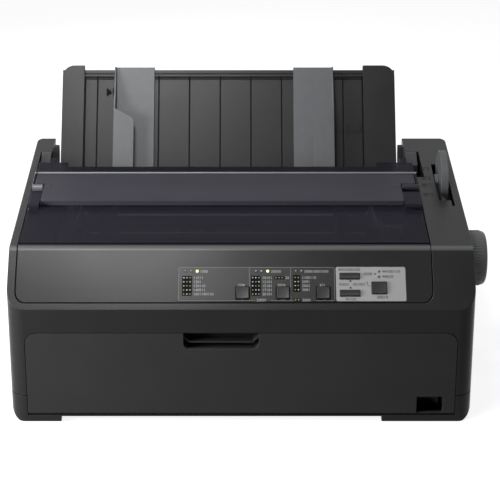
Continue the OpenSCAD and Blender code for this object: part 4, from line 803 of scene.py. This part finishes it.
# Painted shade: a black ring on the label around each key, where the gap around the key lies in shadow.
for node in ("item_left_key", "item_right_key", "set_key"):
    low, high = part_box(node)
    middle = DARK_FACE.inverted() @ ((low + high) / 2) / MM
    half_x = (high.x - low.x) / MM / 2 - KEY_FLANGE + KEY_PLAY
    half_y = KEY_HALF_LENGTH + KEY_PLAY
    outer, inner = [
        round_box(middle.x - half_x - wide, middle.y - half_y - wide, middle.x + half_x + wide,
                  middle.y + half_y + wide, 0.4 + wide)
        for wide in (KEY_SHADE_RING, 0.0)
    ]
    stroke(black, outer, inner, lambda a, b: False)
black.finish("label_tables", INK["black"], "chassis", "dark_label")
print(len(TABLES), "tables")

# %% Dots and numbers of the dark label
DOT = turned_outline([(0.56, 0.0), (0.56, 0.05)], 12, "dot")
SLOPE_TURN = DARK_FACE.to_euler()
for kind, ink in (("w", "white"), ("g", "green")):
    piece("label_dots_" + ink, copies_on(dots[kind], DOT, SLOPE_TURN, INK[ink]), None, "chassis")

DARK_DIGIT, LIGHT_DIGIT = 2.5, 2.7    # heights of the digits
NUMBERS = [("1000", 18.4, 26.3), ("20000", 79.2, 26.3), ("300010001000", 107.6, 26.3), ("26", 91.4, 20.5)]
ROWS = (
    (12.9, 20.4, ("11011", "1201", "130110", "140011", "1501100110")),
    (71.7, 20.4, ("10101", "12101", "15101", "17101", "20101")),
    (105.6, 20.6, ("1100110", "2001", "2002", "3001")),
)
for x, top, texts in ROWS:
    NUMBERS += [(text, x, top - row * DOT_PITCH[1]) for row, text in enumerate(texts)]
NUMBERS += [("1001", 50.4, 13.6), ("2001", 84.6, 13.6), ("301", 120.4, 13.6), ("20001", 66.8, -0.2),
            ("3000", 105.8, -0.2)]
for text, x, y in NUMBERS:
    grey.number(text, x, y, DARK_DIGIT)


def triangle(ink, x, y, size, turn):
    """A solid triangle whose point looks in the direction turn, in degrees."""
    ink.shape([(x + size * math.cos(math.radians(turn + a)), y + size * math.sin(math.radians(turn + a)))
               for a in (0, 120, 240)])


POINTER_SIZE = 0.95
POINTERS = (
    (55.6, 14.7, 180), (90.8, 14.7, 0), (54.6, 1.5, 180), (88.4, 1.5, 0), (90.6, 1.5, 0), (124.4, 1.9, 90),
)
for x, y, turn in POINTERS:
    triangle(grey, x, y, POINTER_SIZE, turn)
grey.finish("label_print", INK["grey"], "chassis", "dark_label")
print(len(NUMBERS), "numbers,", sum(map(len, dots.values())), "dots")

# %% [markdown]
# ## The light label's print
# The light half has dark print: two arrow heads between the paper keys, a pointer, a bent line to the pause
# key and plain numbers. It is made as the dark half is, with an ink of its own.

# %% Light label
dark = Print(LIGHT_FACE)
LIGHT_NUMBERS = (
    ("4001000100", 2.0, 27.9), ("41101", 8.0, 0.6), ("30010", 34.6, 2.4), ("4300", 23.6, 23.9),
    ("44100110", 39.8, 26.2), ("44210", 39.8, 21.5), ("42001", 2.4, 14.2), ("421001", 14.2, 14.2),
)
for text, x, y in LIGHT_NUMBERS:
    dark.number(text, x, y, LIGHT_DIGIT)
for y, turn in ((18.6, 90), (12.3, 270)):
    triangle(dark, 12.4, y, 1.35, turn)
triangle(dark, 33.6, 25.2, 1.1, 0)
for x0, y0, x1, y1 in ((24.9, 17.2, 27.2, 17.6), (26.8, 14.2, 27.2, 17.2), (26.8, 13.8, 29.4, 14.2)):
    dark.bar(x0, y0, x1, y1)
dark.finish("key_label_print", INK["dark"], "chassis", "light_label")
print("light label printed")

# %% [markdown]
# ## Lamps
# The lamps are small lenses on light pipes. Two glow yellow-green in the photograph and the others are off. A
# ball would stand too proud, so each is a solid of revolution with a low dome, copied to its places along the
# panel.

# %% Lamps
def lamp_glass(name, colour, glow):
    """A clear lens; glow is how strongly it shines."""
    material, tree, shader, place = start(name, colour, 0.15, 0.5)
    haze = cloud(tree, place, 0.8)
    tint = between(tree, haze, shade(colour, 0.8), colour)
    tree.links.new(tint, shader.inputs["Base Color"])
    tree.links.new(tint, shader.inputs["Emission Color"])
    shader.inputs["Emission Strength"].default_value = glow
    return material


LENS_R, PIPE = 1.12, 9.0
LENS = turned_outline(
    [(LENS_R, -PIPE)] + [(LENS_R * math.cos(math.radians(a)), 0.45 * math.sin(math.radians(a)) + 0.1)
                         for a in range(0, 86, 12)], 20, "lens")
LAMP_Y, LAMP_GAP = 27.8, 4.9
GROUP_X = (6.4, 66.7, 100.7)        # the first lamp of each group
off_lamps = [at(DARK_FACE, x + k * LAMP_GAP, LAMP_Y) for x in GROUP_X for k in range(2)]
off_lamps += [at(LIGHT_FACE, 36.8, LAMP_Y - drop) for drop in (0.3, 5.2)]
lit_lamps = [at(DARK_FACE, x + 2 * LAMP_GAP, LAMP_Y) for x in GROUP_X[:2]]
LAMPS = {
    "lamps_off": (off_lamps, lamp_glass("lens_off", (0.035, 0.04, 0.03), 0.0)),
    "lamps_lit": (lit_lamps, lamp_glass("lens_lit", (0.55, 0.95, 0.22), 1.3)),
}
for name, (places, glass) in LAMPS.items():
    lamps = piece(name, copies_on(places, LENS, SLOPE_TURN, glass), None, "chassis")
    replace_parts(lamps, "indicator_lamps")
print(len(off_lamps) + len(lit_lamps), "lamps")

# %% [markdown]
# ## The platen knob
# The knob follows a rule: an outline turned around the shaft, with a fine rib every six degrees on its grip.
# The tree bends a flat grid around the shaft. One side of the grid goes round, and the other runs along the
# outline, which is read from a curve. A cosine raises the ribs, and only where the grip is.

# %% Knob tree
KNOB, KNOB_INPUTS, given, sent = node_tree("ribbed_knob", {
    "Outline": "Object", "Ribs": "Float", "Rib Height": "Float", "Grip Start": "Float", "Grip End": "Float",
    "Middle": "Vector", "Finish": "Material",
})


def calculate(operation, first, second=None):
    """One sum in the knob tree."""
    inputs = {0: first} if second is None else {0: first, 1: second}
    return add(KNOB, "ShaderNodeMath", inputs, operation=operation).outputs["Value"]


RIB_COUNT, STEPS_PER_RIB, ALONG = 60, 8, 72
grid = add(KNOB, "GeometryNodeMeshGrid", {
    "Size X": 1.0, "Size Y": 1.0, "Vertices X": RIB_COUNT * STEPS_PER_RIB + 1, "Vertices Y": ALONG,
}).outputs["Mesh"]
spot = add(KNOB, "ShaderNodeSeparateXYZ", {"Vector": add(KNOB, "GeometryNodeInputPosition").outputs["Position"]})
angle = calculate("MULTIPLY", spot.outputs["X"], 2 * math.pi)
share = calculate("ADD", spot.outputs["Y"], 0.5)
outline = add(KNOB, "GeometryNodeObjectInfo", {"Object": given["Outline"]}).outputs["Geometry"]
sample = add(KNOB, "GeometryNodeSampleCurve", {"Curves": outline, "Factor": share}, mode="FACTOR")
on_outline = add(KNOB, "ShaderNodeSeparateXYZ", {"Vector": sample.outputs["Position"]}).outputs
wave = calculate("ADD", calculate("COSINE", calculate("MULTIPLY", angle, given["Ribs"])), 1.0)
rise = add(KNOB, "ShaderNodeMapRange", {
    "Value": on_outline["X"], "From Min": given["Grip Start"],
    "From Max": calculate("ADD", given["Grip Start"], 1.5 * MM),
}, interpolation_type="SMOOTHSTEP").outputs["Result"]
fall = add(KNOB, "ShaderNodeMapRange", {
    "Value": on_outline["X"], "From Max": given["Grip End"],
    "From Min": calculate("ADD", given["Grip End"], 1.5 * MM),
}, interpolation_type="SMOOTHSTEP").outputs["Result"]
on_grip = calculate("MULTIPLY", rise, fall)
ridge = calculate("MULTIPLY", calculate("MULTIPLY", wave, given["Rib Height"]), on_grip)
reach = calculate("ADD", on_outline["Y"], ridge)
bent = add(KNOB, "ShaderNodeCombineXYZ", {
    "X": on_outline["X"], "Y": calculate("MULTIPLY", reach, calculate("COSINE", angle)),
    "Z": calculate("MULTIPLY", reach, calculate("SINE", angle)),
}).outputs["Vector"]
moved = add(KNOB, "ShaderNodeVectorMath", {0: bent, 1: given["Middle"]}, operation="ADD").outputs["Vector"]
wrapped = add(KNOB, "GeometryNodeSetPosition", {"Geometry": grid, "Position": moved}).outputs["Geometry"]
merged = add(KNOB, "GeometryNodeMergeByDistance", {"Geometry": wrapped, "Distance": 0.01 * MM})
real = add(KNOB, "GeometryNodeRealizeInstances", {"Geometry": merged.outputs["Geometry"]}).outputs["Geometry"]
finished = add(KNOB, "GeometryNodeSetMaterial", {"Geometry": real, "Material": given["Finish"]})
KNOB.links.new(finished.outputs["Geometry"], sent["Geometry"])
print("the knob tree has", len(KNOB.nodes), "nodes")

# %% Platen knob
knob_low, knob_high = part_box("platen_knob")
KNOB_T = (knob_high.x - knob_low.x) / MM
RIM = (knob_high.z - knob_low.z) / 2 / MM          # over the ribs
GRIP_R = RIM - 0.5
# distance from the case side and radius, from the shaft hole to the middle of the outer face
KNOB_OUTLINE = [
    (0, 0.01), (0, RIM - 2.6), (0.5, RIM - 1.6), (1.3, RIM - 1.0), (4.6, RIM - 1.0), (5.2, GRIP_R), (6, GRIP_R),
    (KNOB_T - 5.4, GRIP_R), (KNOB_T - 3.8, GRIP_R - 0.3), (KNOB_T - 2.2, GRIP_R - 1.0),
    (KNOB_T - 1, GRIP_R - 2.2), (KNOB_T - 0.3, GRIP_R - 3.8), (KNOB_T, GRIP_R - 5.6),
    (KNOB_T - 0.1, GRIP_R - 6.8), (KNOB_T - 1.2, GRIP_R - 7.6), (KNOB_T - 1.4, GRIP_R - 8.6),
    (KNOB_T - 1.4, 6.2), (KNOB_T - 1.2, 5.6), (KNOB_T - 0.5, 5.2), (KNOB_T - 0.4, 0.01),
]
line = bpy.data.curves.new("outline", "CURVE")
line.dimensions = "3D"
spline = line.splines.new("POLY")
spline.points.add(len(KNOB_OUTLINE) - 1)
for point, (along, radius) in zip(spline.points, KNOB_OUTLINE):
    point.co = (along * MM, radius * MM, 0, 1)
outline_curve = bpy.data.objects.new("outline", line)
bpy.context.scene.collection.objects.link(outline_curve)
middle = (knob_low + knob_high) / 2
knob_mesh = run_tree(KNOB, KNOB_INPUTS, bpy.data.meshes.new("empty"), {
    "Outline": outline_curve, "Ribs": float(RIB_COUNT), "Rib Height": 0.24 * MM, "Grip Start": 5.6 * MM,
    "Grip End": (KNOB_T - 6.5) * MM, "Middle": (knob_low.x, middle.y, middle.z), "Finish": FINISH["knob"],
})
bpy.data.objects.remove(outline_curve)
turned_right = bmesh.new()
turned_right.from_mesh(knob_mesh)
bmesh.ops.recalc_face_normals(turned_right, faces=turned_right.faces)
turned_right.to_mesh(knob_mesh)
turned_right.free()
knob = piece("ribbed_knob", weighted(knob_mesh), FINISH["knob"], BODY_OF["platen_knob"])
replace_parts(knob, "platen_knob")
print("knob", len(knob_mesh.polygons), "faces")

# %% [markdown]
# ## Marks on the paper guide
# An arrow shows where the left edge of the paper goes, and a small scale with a mark for every column shows
# its right edge. Along the rails and under the lip, thin black bars are painted shadow where the gaps lie in
# shade. The scale's marks are a tenth of an inch apart, and every fifth is taller and has its number. They
# are cut into the real sheet, but so finely that black plates of ink look the same.

# %% Paper guide marks
COLUMN = 2.54
SCALE_X, SCALE_Z = 90.3, 176.8
MARK_W, MARK_L, TALL_MARK_L, SCALE_DIGIT = 0.5, 1.8, 3.4, 2.7
ARROW_X, ARROW_Z = -125.4, 210.4
ARROW_HALF, ARROW_TIP, ARROW_TAIL, STOP_W = 3.5, 1.0, 6.2, 1.0      # the arrow points at the paper's stop
FRAME_X = CASE_MIDDLE / MM                         # from the middle of the printer to the middle of the case


def guide_place(x, z):
    """Millimetres on the guide's face for a distance from the middle of the case and a height above the table."""
    corner = GUIDE_FACE.to_translation() / MM
    up = GUIDE_FACE.to_3x3() @ Vector((0, 1, 0))
    return x + FRAME_X - corner.x, (z - corner.z) / up.z


marks_and_painted_shadow = Print(GUIDE_FACE)
scale_x, scale_y = guide_place(SCALE_X, SCALE_Z)
for i in range(11):
    tall = i % 5 == 0
    mark_x = scale_x + i * COLUMN
    marks_and_painted_shadow.bar(mark_x - MARK_W / 2, scale_y, mark_x + MARK_W / 2, scale_y + (TALL_MARK_L if tall else MARK_L))
    if tall:
        marks_and_painted_shadow.number(str(i), mark_x - (0.9 if i < 10 else 2.0), scale_y + TALL_MARK_L + 1.0, SCALE_DIGIT)
arrow_x, arrow_y = guide_place(ARROW_X, ARROW_Z)
marks_and_painted_shadow.shape([
    (arrow_x - ARROW_TAIL, arrow_y - ARROW_HALF), (arrow_x - ARROW_TIP, arrow_y),
    (arrow_x - ARROW_TAIL, arrow_y + ARROW_HALF),
])
marks_and_painted_shadow.bar(arrow_x, arrow_y - ARROW_HALF, arrow_x + STOP_W, arrow_y + ARROW_HALF)
RAILS = (-153.3, 119.0)                            # inner edges of the rails, from the middle of the case
LIP_Y = 110.4                                      # lower edge of the lip, up the sheet
# The black bars along the rails and under the lip are painted shadow in the gaps, which lie in shade.
RAIL_SHADOW_W, LIP_SHADOW_W, SHADOW_FOOT = 1.4, 1.5, 6          # widths of the dark gaps, and where the rails' gaps start
left_edge, right_edge = (guide_place(x, 0)[0] for x in RAILS)
marks_and_painted_shadow.bar(left_edge, SHADOW_FOOT, left_edge + RAIL_SHADOW_W, LIP_Y)
marks_and_painted_shadow.bar(right_edge - RAIL_SHADOW_W, SHADOW_FOOT, right_edge, LIP_Y)
marks_and_painted_shadow.bar(left_edge, LIP_Y - LIP_SHADOW_W, right_edge, LIP_Y)
marks_and_painted_shadow.finish("guide_marks", INK["black"], "paper_guide", "guide")
print("scale at", round(scale_x, 1), round(scale_y, 1), "and arrow at", round(arrow_x, 1), round(arrow_y, 1))

# %% [markdown]
# ## Marks beside the release lever
# Four small signs beside the lever's slot show its places: a sheet and a plain number, over a short line.
# They are raised a little on the real case, and flat black plates show the same from where the camera stands.

# %% Release lever marks
LEVER_MARKS = [(171.6, 150.0), (172.2, 171.0), (172.9, 187.5), (173.6, 209.0)]


def top_place(x, y):
    """Millimetres on the broad rail for a distance from the middle of the case and from its front face."""
    corner = TOP_FACE.to_translation() / MM
    up = TOP_FACE.to_3x3() @ Vector((0, 1, 0))
    depth = (frame["record"]["size"].get("depth_m") or 0.35) / 2 / MM
    return x + FRAME_X - corner.x, (y - depth - corner.y) / up.y


signs = Print(TOP_FACE)
for order, (x, y) in enumerate(LEVER_MARKS):
    sx, sy = top_place(x, y)
    signs.bar(sx - 5.2, sy + 4.4, sx + 4.4, sy + 4.9)
    signs.number(str(order), sx + 1.6, sy - 1.4, 3.6)
    outer = round_box(sx - 4.4, sy - 2.0, sx - 0.6, sy + 3.0, 0.5)
    inner = round_box(sx - 4.0, sy - 1.6, sx - 1.0, sy + 2.6, 0.1)
    stroke(signs, outer, inner, lambda a, b: False)
    signs.bar(sx - 3.4, sy + 0.9, sx - 1.6, sy + 1.3)
signs.finish("lever_marks", INK["black"], "chassis", "case")
print(len(LEVER_MARKS), "lever marks")

# %% [markdown]
# ## The lever's shutter
# Around the thumb wheel the slot would show a deep dark hole. A flat plate could not turn with the lever, so
# such levers carry a curved shutter, concentric with their pivot, that slides just under the case and keeps
# dust out. It is swept from an arc. Ahead of the wheel's reach the slot is closed by a fixed plate, which
# leaves a thin dark line on the right.

# %% Shutter
SLOT_FROM_SIDE = (19.6, 6.8)                       # the slot's edges, in from the right side of the case
SLOT_X = [CASE_HIGH.x - distance * MM for distance in SLOT_FROM_SIDE]
BACK, AHEAD, ARC_STEP = -38, 58, 3                 # degrees of the shutter behind and ahead of upright
SHUTTER_DROP, SHUTTER_T, SHUTTER_PLAY = 1.6, 1.0, 0.5
pivot = HINGE["release_lever_hinge"]
top_out = TOP_FACE.to_3x3() @ Vector((0, 0, 1))
top_level = TOP_FACE.to_translation().dot(top_out)    # how high the top lies along the way it faces
shutter_r = (top_level - pivot.dot(top_out)) / MM - SHUTTER_DROP


def arc(radius, turns):
    """Points of Y and Z around the pivot, for turns in degrees from upright toward the front."""
    angles = [math.radians(turn) for turn in turns]
    return [(pivot.y - radius * MM * math.sin(a), pivot.z + radius * MM * math.cos(a)) for a in angles]


turns = list(range(BACK, AHEAD + 1, ARC_STEP))
outline = arc(shutter_r, turns) + arc(shutter_r - SHUTTER_T, turns[::-1])
shutter = swept(outline, SLOT_X[0] + SHUTTER_PLAY * MM, SLOT_X[1] - SHUTTER_PLAY * MM)
piece("lever_shutter", to_mesh(shutter, "lever_shutter"), FINISH["case"], BODY_OF["release_lever"])
print("shutter radius", round(shutter_r, 1), "mm")

# %% Slot plate
SLOT_REACH = 52.5                                  # from the pivot forward to the slot's front end
PLATE_L, PLATE_T, PLATE_DROP = 12, 1.2, 0.15
PLATE_GAPS = (0.1, 2.2)                            # left and right of the plate
slot_front = pivot.y - SLOT_REACH * MM
front_z = (top_level - slot_front * top_out.y) / top_out.z
top_up = TOP_FACE.to_3x3() @ Vector((0, 1, 0))
ends = (slot_front + 0.1 * MM, slot_front + PLATE_L * MM)
face_line = [(y, front_z + (y - slot_front) * top_up.z / top_up.y - PLATE_DROP * MM) for y in ends]
outline = face_line + [(y, z - PLATE_T * MM) for y, z in face_line[::-1]]
plate = swept(outline, SLOT_X[0] + PLATE_GAPS[0] * MM, SLOT_X[1] - PLATE_GAPS[1] * MM)
round_edges(plate, 0.2)
piece("slot_plate", to_mesh(plate, "slot_plate"), FINISH["case"], "chassis")
print("plate from", round(slot_front / MM, 1), "mm")

# %% [markdown]
# ## Screws
# Cross-headed screws near the corners hold the case from below. The head is a low dome with a cross cut into
# it. A cross is hard to cut into a fan of faces, so the head is built of a ring of faces around a cross-shaped
# floor that lies deeper.

# %% Screws
def screw_head(radius, height, name):
    """A screw head with a cross recess: its outline climbs from the rim to the edge of the cross."""
    sides = 24
    solid = bmesh.new()

    def ring(r, z, cross=0.0):
        made = []
        for i in range(sides):
            a = 2 * math.pi * i / sides
            reach = r
            if cross:
                lobe = abs(((math.degrees(a) + 45) % 90) - 45)
                reach = r if lobe < 12 else r * cross
            made.append(solid.verts.new((reach * MM * math.cos(a), reach * MM * math.sin(a), z * MM)))
        return made

    rings = [
        ring(radius, -1.0), ring(radius, 0.35 * height), ring(radius * 0.86, 0.8 * height),
        ring(radius * 0.62, height), ring(radius * 0.58, height, 0.42), ring(radius * 0.5, height - 0.9, 0.42),
    ]
    for low, high in zip(rings, rings[1:]):
        for i in range(sides):
            j = (i + 1) % sides
            solid.faces.new((low[i], low[j], high[j], high[i]))
    solid.faces.new(rings[0][::-1])
    solid.faces.new(rings[-1])
    return to_mesh(solid, name)


screw_low, screw_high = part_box("case_screws")
UNDER = (math.pi, 0, 0)             # the heads look down
HEAD_R, HEAD_H = 3.1, 1.2
inset = 3.2 * MM                    # from the corners of the screws' box to their middles
screw_places = [
    Vector((x, y, screw_low.z + HEAD_H * MM))
    for x in (screw_low.x + inset, screw_high.x - inset) for y in (screw_low.y + inset, screw_high.y - inset)
]
heads = copies_on(screw_places, screw_head(HEAD_R, HEAD_H, "screw"), UNDER, FINISH["steel"])
screws = piece("case_screw_heads", heads, None, "chassis")
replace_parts(screws, "case_screws")
print(len(screw_places), "case screws")

# %% [markdown]
# ## Connectors at the back
# Behind the printer are a wide parallel socket, a square serial bus socket, a nine-pin socket and the mains
# inlet. Each working part there is only a block. A socket is a shell with a deep mouth, an insert inside it
# and rows of contacts. The mouth is cut by insetting the block's rear face and pushing the inner face in.

# %% Connector shells
def solids_of(node):
    """The lowest and highest corner of each separate solid of a part, from left to right."""
    solid = welded(node)
    left = set(solid.verts)
    found = []
    while left:
        edge = [left.pop()]
        group = []
        while edge:
            vertex = edge.pop()
            group.append(vertex.co.copy())
            for link in vertex.link_edges:
                other = link.other_vert(vertex)
                if other in left:
                    left.remove(other)
                    edge.append(other)
        low = Vector([min(p[i] for p in group) for i in range(3)])
        high = Vector([max(p[i] for p in group) for i in range(3)])
        found.append((low, high))
    solid.free()
    return sorted(found, key=lambda box: box[0].x)


def block(solid, low, high):
    """Adds a box to a bmesh and returns its faces."""
    made = bmesh.ops.create_cube(solid, size=1.0)["verts"]
    for vertex in made:
        vertex.co = Vector([low[i] if vertex.co[i] < 0 else high[i] for i in range(3)])
    return {face for vertex in made for face in vertex.link_faces}


def socket(solid, low, high, wall, depth):
    """Adds a block with a mouth in its rear face."""
    faces = block(solid, low, high)
    solid.normal_update()
    rear = max(faces, key=lambda face: face.calc_center_median().y)
    bmesh.ops.inset_region(solid, faces=[rear], thickness=wall * MM, depth=0, use_even_offset=True)
    moved = bmesh.ops.extrude_discrete_faces(solid, faces=[rear])["faces"][0]
    bmesh.ops.translate(solid, verts=moved.verts, vec=(0, -depth * MM, 0))


PORTS = solids_of("rear_connectors")
WALL, MOUTH = 0.9, 7.0              # of a metal shell
INLET_WALL, INLET_MOUTH = 2.2, 12.0
metal = bmesh.new()
plastic = bmesh.new()
for low, high in PORTS[:-1]:
    socket(metal, low, high, WALL, MOUTH)
socket(plastic, *PORTS[-1], INLET_WALL, INLET_MOUTH)
round_edges(metal, 0.3)
shells = piece(
    "connector_shells", to_mesh(metal, "connector_shells"), FINISH["sheet_steel"], "chassis")
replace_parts(shells, "rear_connectors")
print(len(PORTS), "connectors")

# %% Inserts and contacts
def contact(width, length, thickness, rounding, name):
    """A rounded bar in millimetres that ends at the origin and runs forward from there, into the printer."""
    solid = bmesh.new()
    block(solid, (-width / 2 * MM, -length * MM, -thickness / 2 * MM), (width / 2 * MM, 0, thickness / 2 * MM))
    round_edges(solid, rounding)
    return to_mesh(solid, name)


PIN = contact(0.7, 2.4, 0.7, 0.12, "pin")
BLADE = contact(4.0, 9.0, 2.0, 0.3, "blade")
INSERT_SHARES = (0.3, 0.36, 0.5)    # of each socket's height
INSERT_MARGIN = 0.12                # of each socket's width
INSERT_DEPTH = 1.6                  # from a socket's rim

(parallel_low, parallel_high), _, (serial_low, serial_high), (inlet_low, inlet_high) = PORTS
for (low, high), share in zip(PORTS, INSERT_SHARES):
    side = (high.x - low.x) * INSERT_MARGIN
    middle = (low + high) / 2
    half = (high.z - low.z) * share / 2
    front_low = (low.x + side, high.y - MOUTH * MM, middle.z - half)
    block(plastic, front_low, (high.x - side, high.y - INSERT_DEPTH * MM, middle.z + half))
round_edges(plastic, 0.3)
inserts = to_mesh(plastic, "connector_inserts")
piece("connector_inserts", inserts, FINISH["black_plastic"], "chassis")

PARALLEL_PITCH, SERIAL_PITCH = 2.16, 2.77
middle = (parallel_low + parallel_high) / 2
lift = (parallel_high.z - parallel_low.z) * INSERT_SHARES[0] / 2 + 0.1 * MM      # just off the insert
pins = [Vector((middle.x + (i - 8.5) * PARALLEL_PITCH * MM, parallel_high.y - 2.0 * MM, middle.z + side * lift))
        for i in range(18) for side in (-1, 1)]
middle = (serial_low + serial_high) / 2
for count, row_z in ((5, 1.4), (4, -1.4)):
    for i in range(count):
        x = middle.x + (i - (count - 1) / 2) * SERIAL_PITCH * MM
        pins.append(Vector((x, serial_high.y - 0.9 * MM, middle.z + row_z * MM)))
piece("connector_pins", copies_on(pins, PIN, (0, 0, 0), FINISH["brass"]), None, "chassis")
middle = (inlet_low + inlet_high) / 2
blades = [Vector((middle.x + x * MM, inlet_high.y - 3 * MM, middle.z + z * MM))
          for x, z in ((-7, -2.5), (7, -2.5), (0, 2.5))]
piece("inlet_blades", copies_on(blades, BLADE, (0, 0, 0), FINISH["steel"]), None, "chassis")
print(len(pins), "pins and", len(blades), "blades")

# %% [markdown]
# ## Floor and light
# The photograph has a plain white ground. The floor is nearly white by itself, and for the camera, and for
# what shiny surfaces mirror, a glow of its own lifts it to white, so no extra light falls on the printer. The
# key lamp hangs in front, above and to the left, and the slope mirrors it as a soft sheen. A low lamp close
# to the left makes the left side lighter than the right. A weak lamp behind on the left lights the paper
# guide's edge, and a long strip behind and above draws the bright line along the bend of the case.

# %% Floor
def mirrors_or_camera(tree):
    """1 for rays that the camera, a mirroring surface or clear plastic sends out."""
    path = add(tree, "ShaderNodeLightPath").outputs
    rays = {0: path["Is Glossy Ray"], 1: path["Is Transmission Ray"]}
    shiny = add(tree, "ShaderNodeMath", rays, operation="MAXIMUM").outputs["Value"]
    return add(tree, "ShaderNodeMath", {0: path["Is Camera Ray"], 1: shiny}, operation="MAXIMUM").outputs["Value"]


GROUND = bpy.data.materials.new("white_ground")
GROUND.use_nodes = True
tree = GROUND.node_tree
tree.nodes.clear()
paper = add(tree, "ShaderNodeBsdfDiffuse", {"Color": (0.78, 0.78, 0.78, 1)})
glow = add(tree, "ShaderNodeEmission", {"Color": (1, 1, 1, 1), "Strength": 0.88})
thin = add(tree, "ShaderNodeBsdfDiffuse", {"Color": (0.25, 0.25, 0.25, 1)})
seen = add(tree, "ShaderNodeAddShader", {0: glow.outputs["Emission"], 1: thin.outputs["BSDF"]})
mixed = add(tree, "ShaderNodeMixShader", {
    0: mirrors_or_camera(tree), 1: paper.outputs["BSDF"], 2: seen.outputs["Shader"],
})
add(tree, "ShaderNodeOutputMaterial", {"Surface": mixed.outputs["Shader"]})

FLOOR_HALF = 6.0
ground = bpy.data.meshes.new("ground")
ground.from_pydata([(-FLOOR_HALF, -FLOOR_HALF, 0), (FLOOR_HALF, -FLOOR_HALF, 0), (FLOOR_HALF, FLOOR_HALF, 0),
                    (-FLOOR_HALF, FLOOR_HALF, 0)], [], [(0, 1, 2, 3)])
ground.materials.append(GROUND)
floor = bpy.data.objects.new("ground", ground)
bpy.context.scene.collection.objects.link(floor)
print("floor", 2 * FLOOR_HALF, "m wide")

# %% Light
def soft_lamp(name, place, target, width, height, power):
    """A rectangular soft lamp at a place, turned to a target."""
    light = bpy.data.lights.new(name, "AREA")
    light.shape = "RECTANGLE"
    light.size, light.size_y, light.energy = width, height, power
    lamp = bpy.data.objects.new(name, light)
    lamp.location = place
    lamp.rotation_euler = (Vector(target) - Vector(place)).to_track_quat("-Z", "Y").to_euler()
    bpy.context.scene.collection.objects.link(lamp)
    return lamp


soft_lamp("key", (-0.20, -0.36, 1.13), (-0.02, 0.0, 0.1), 0.36, 0.34, 13.5)
soft_lamp("low_left", (-0.74, -0.42, 0.30), (-0.05, 0.0, 0.1), 0.3, 0.3, 16)
soft_lamp("rim_left", (-0.551, 0.927, 0.33), (-0.02, 0.0, 0.1), 0.3, 0.3, 4)
soft_lamp("bend_strip", (-0.02, 0.25, 1.2), (-0.02, -0.13, 0.14), 1.3, 0.2, 5)

world = bpy.data.worlds.new("studio")
bpy.context.scene.world = world
world.use_nodes = True
tree = world.node_tree
tree.nodes.clear()
sky = add(tree, "ShaderNodeBackground", {"Color": (1, 1, 1, 1), "Strength": 1.0})
fill = add(tree, "ShaderNodeBackground", {"Color": (1, 1, 1, 1), "Strength": 0.06})
mixed = add(tree, "ShaderNodeMixShader", {
    0: mirrors_or_camera(tree), 1: fill.outputs["Background"], 2: sky.outputs["Background"],
})
add(tree, "ShaderNodeOutputWorld", {"Surface": mixed.outputs["Shader"]})
bpy.context.scene.view_settings.view_transform = "Standard"
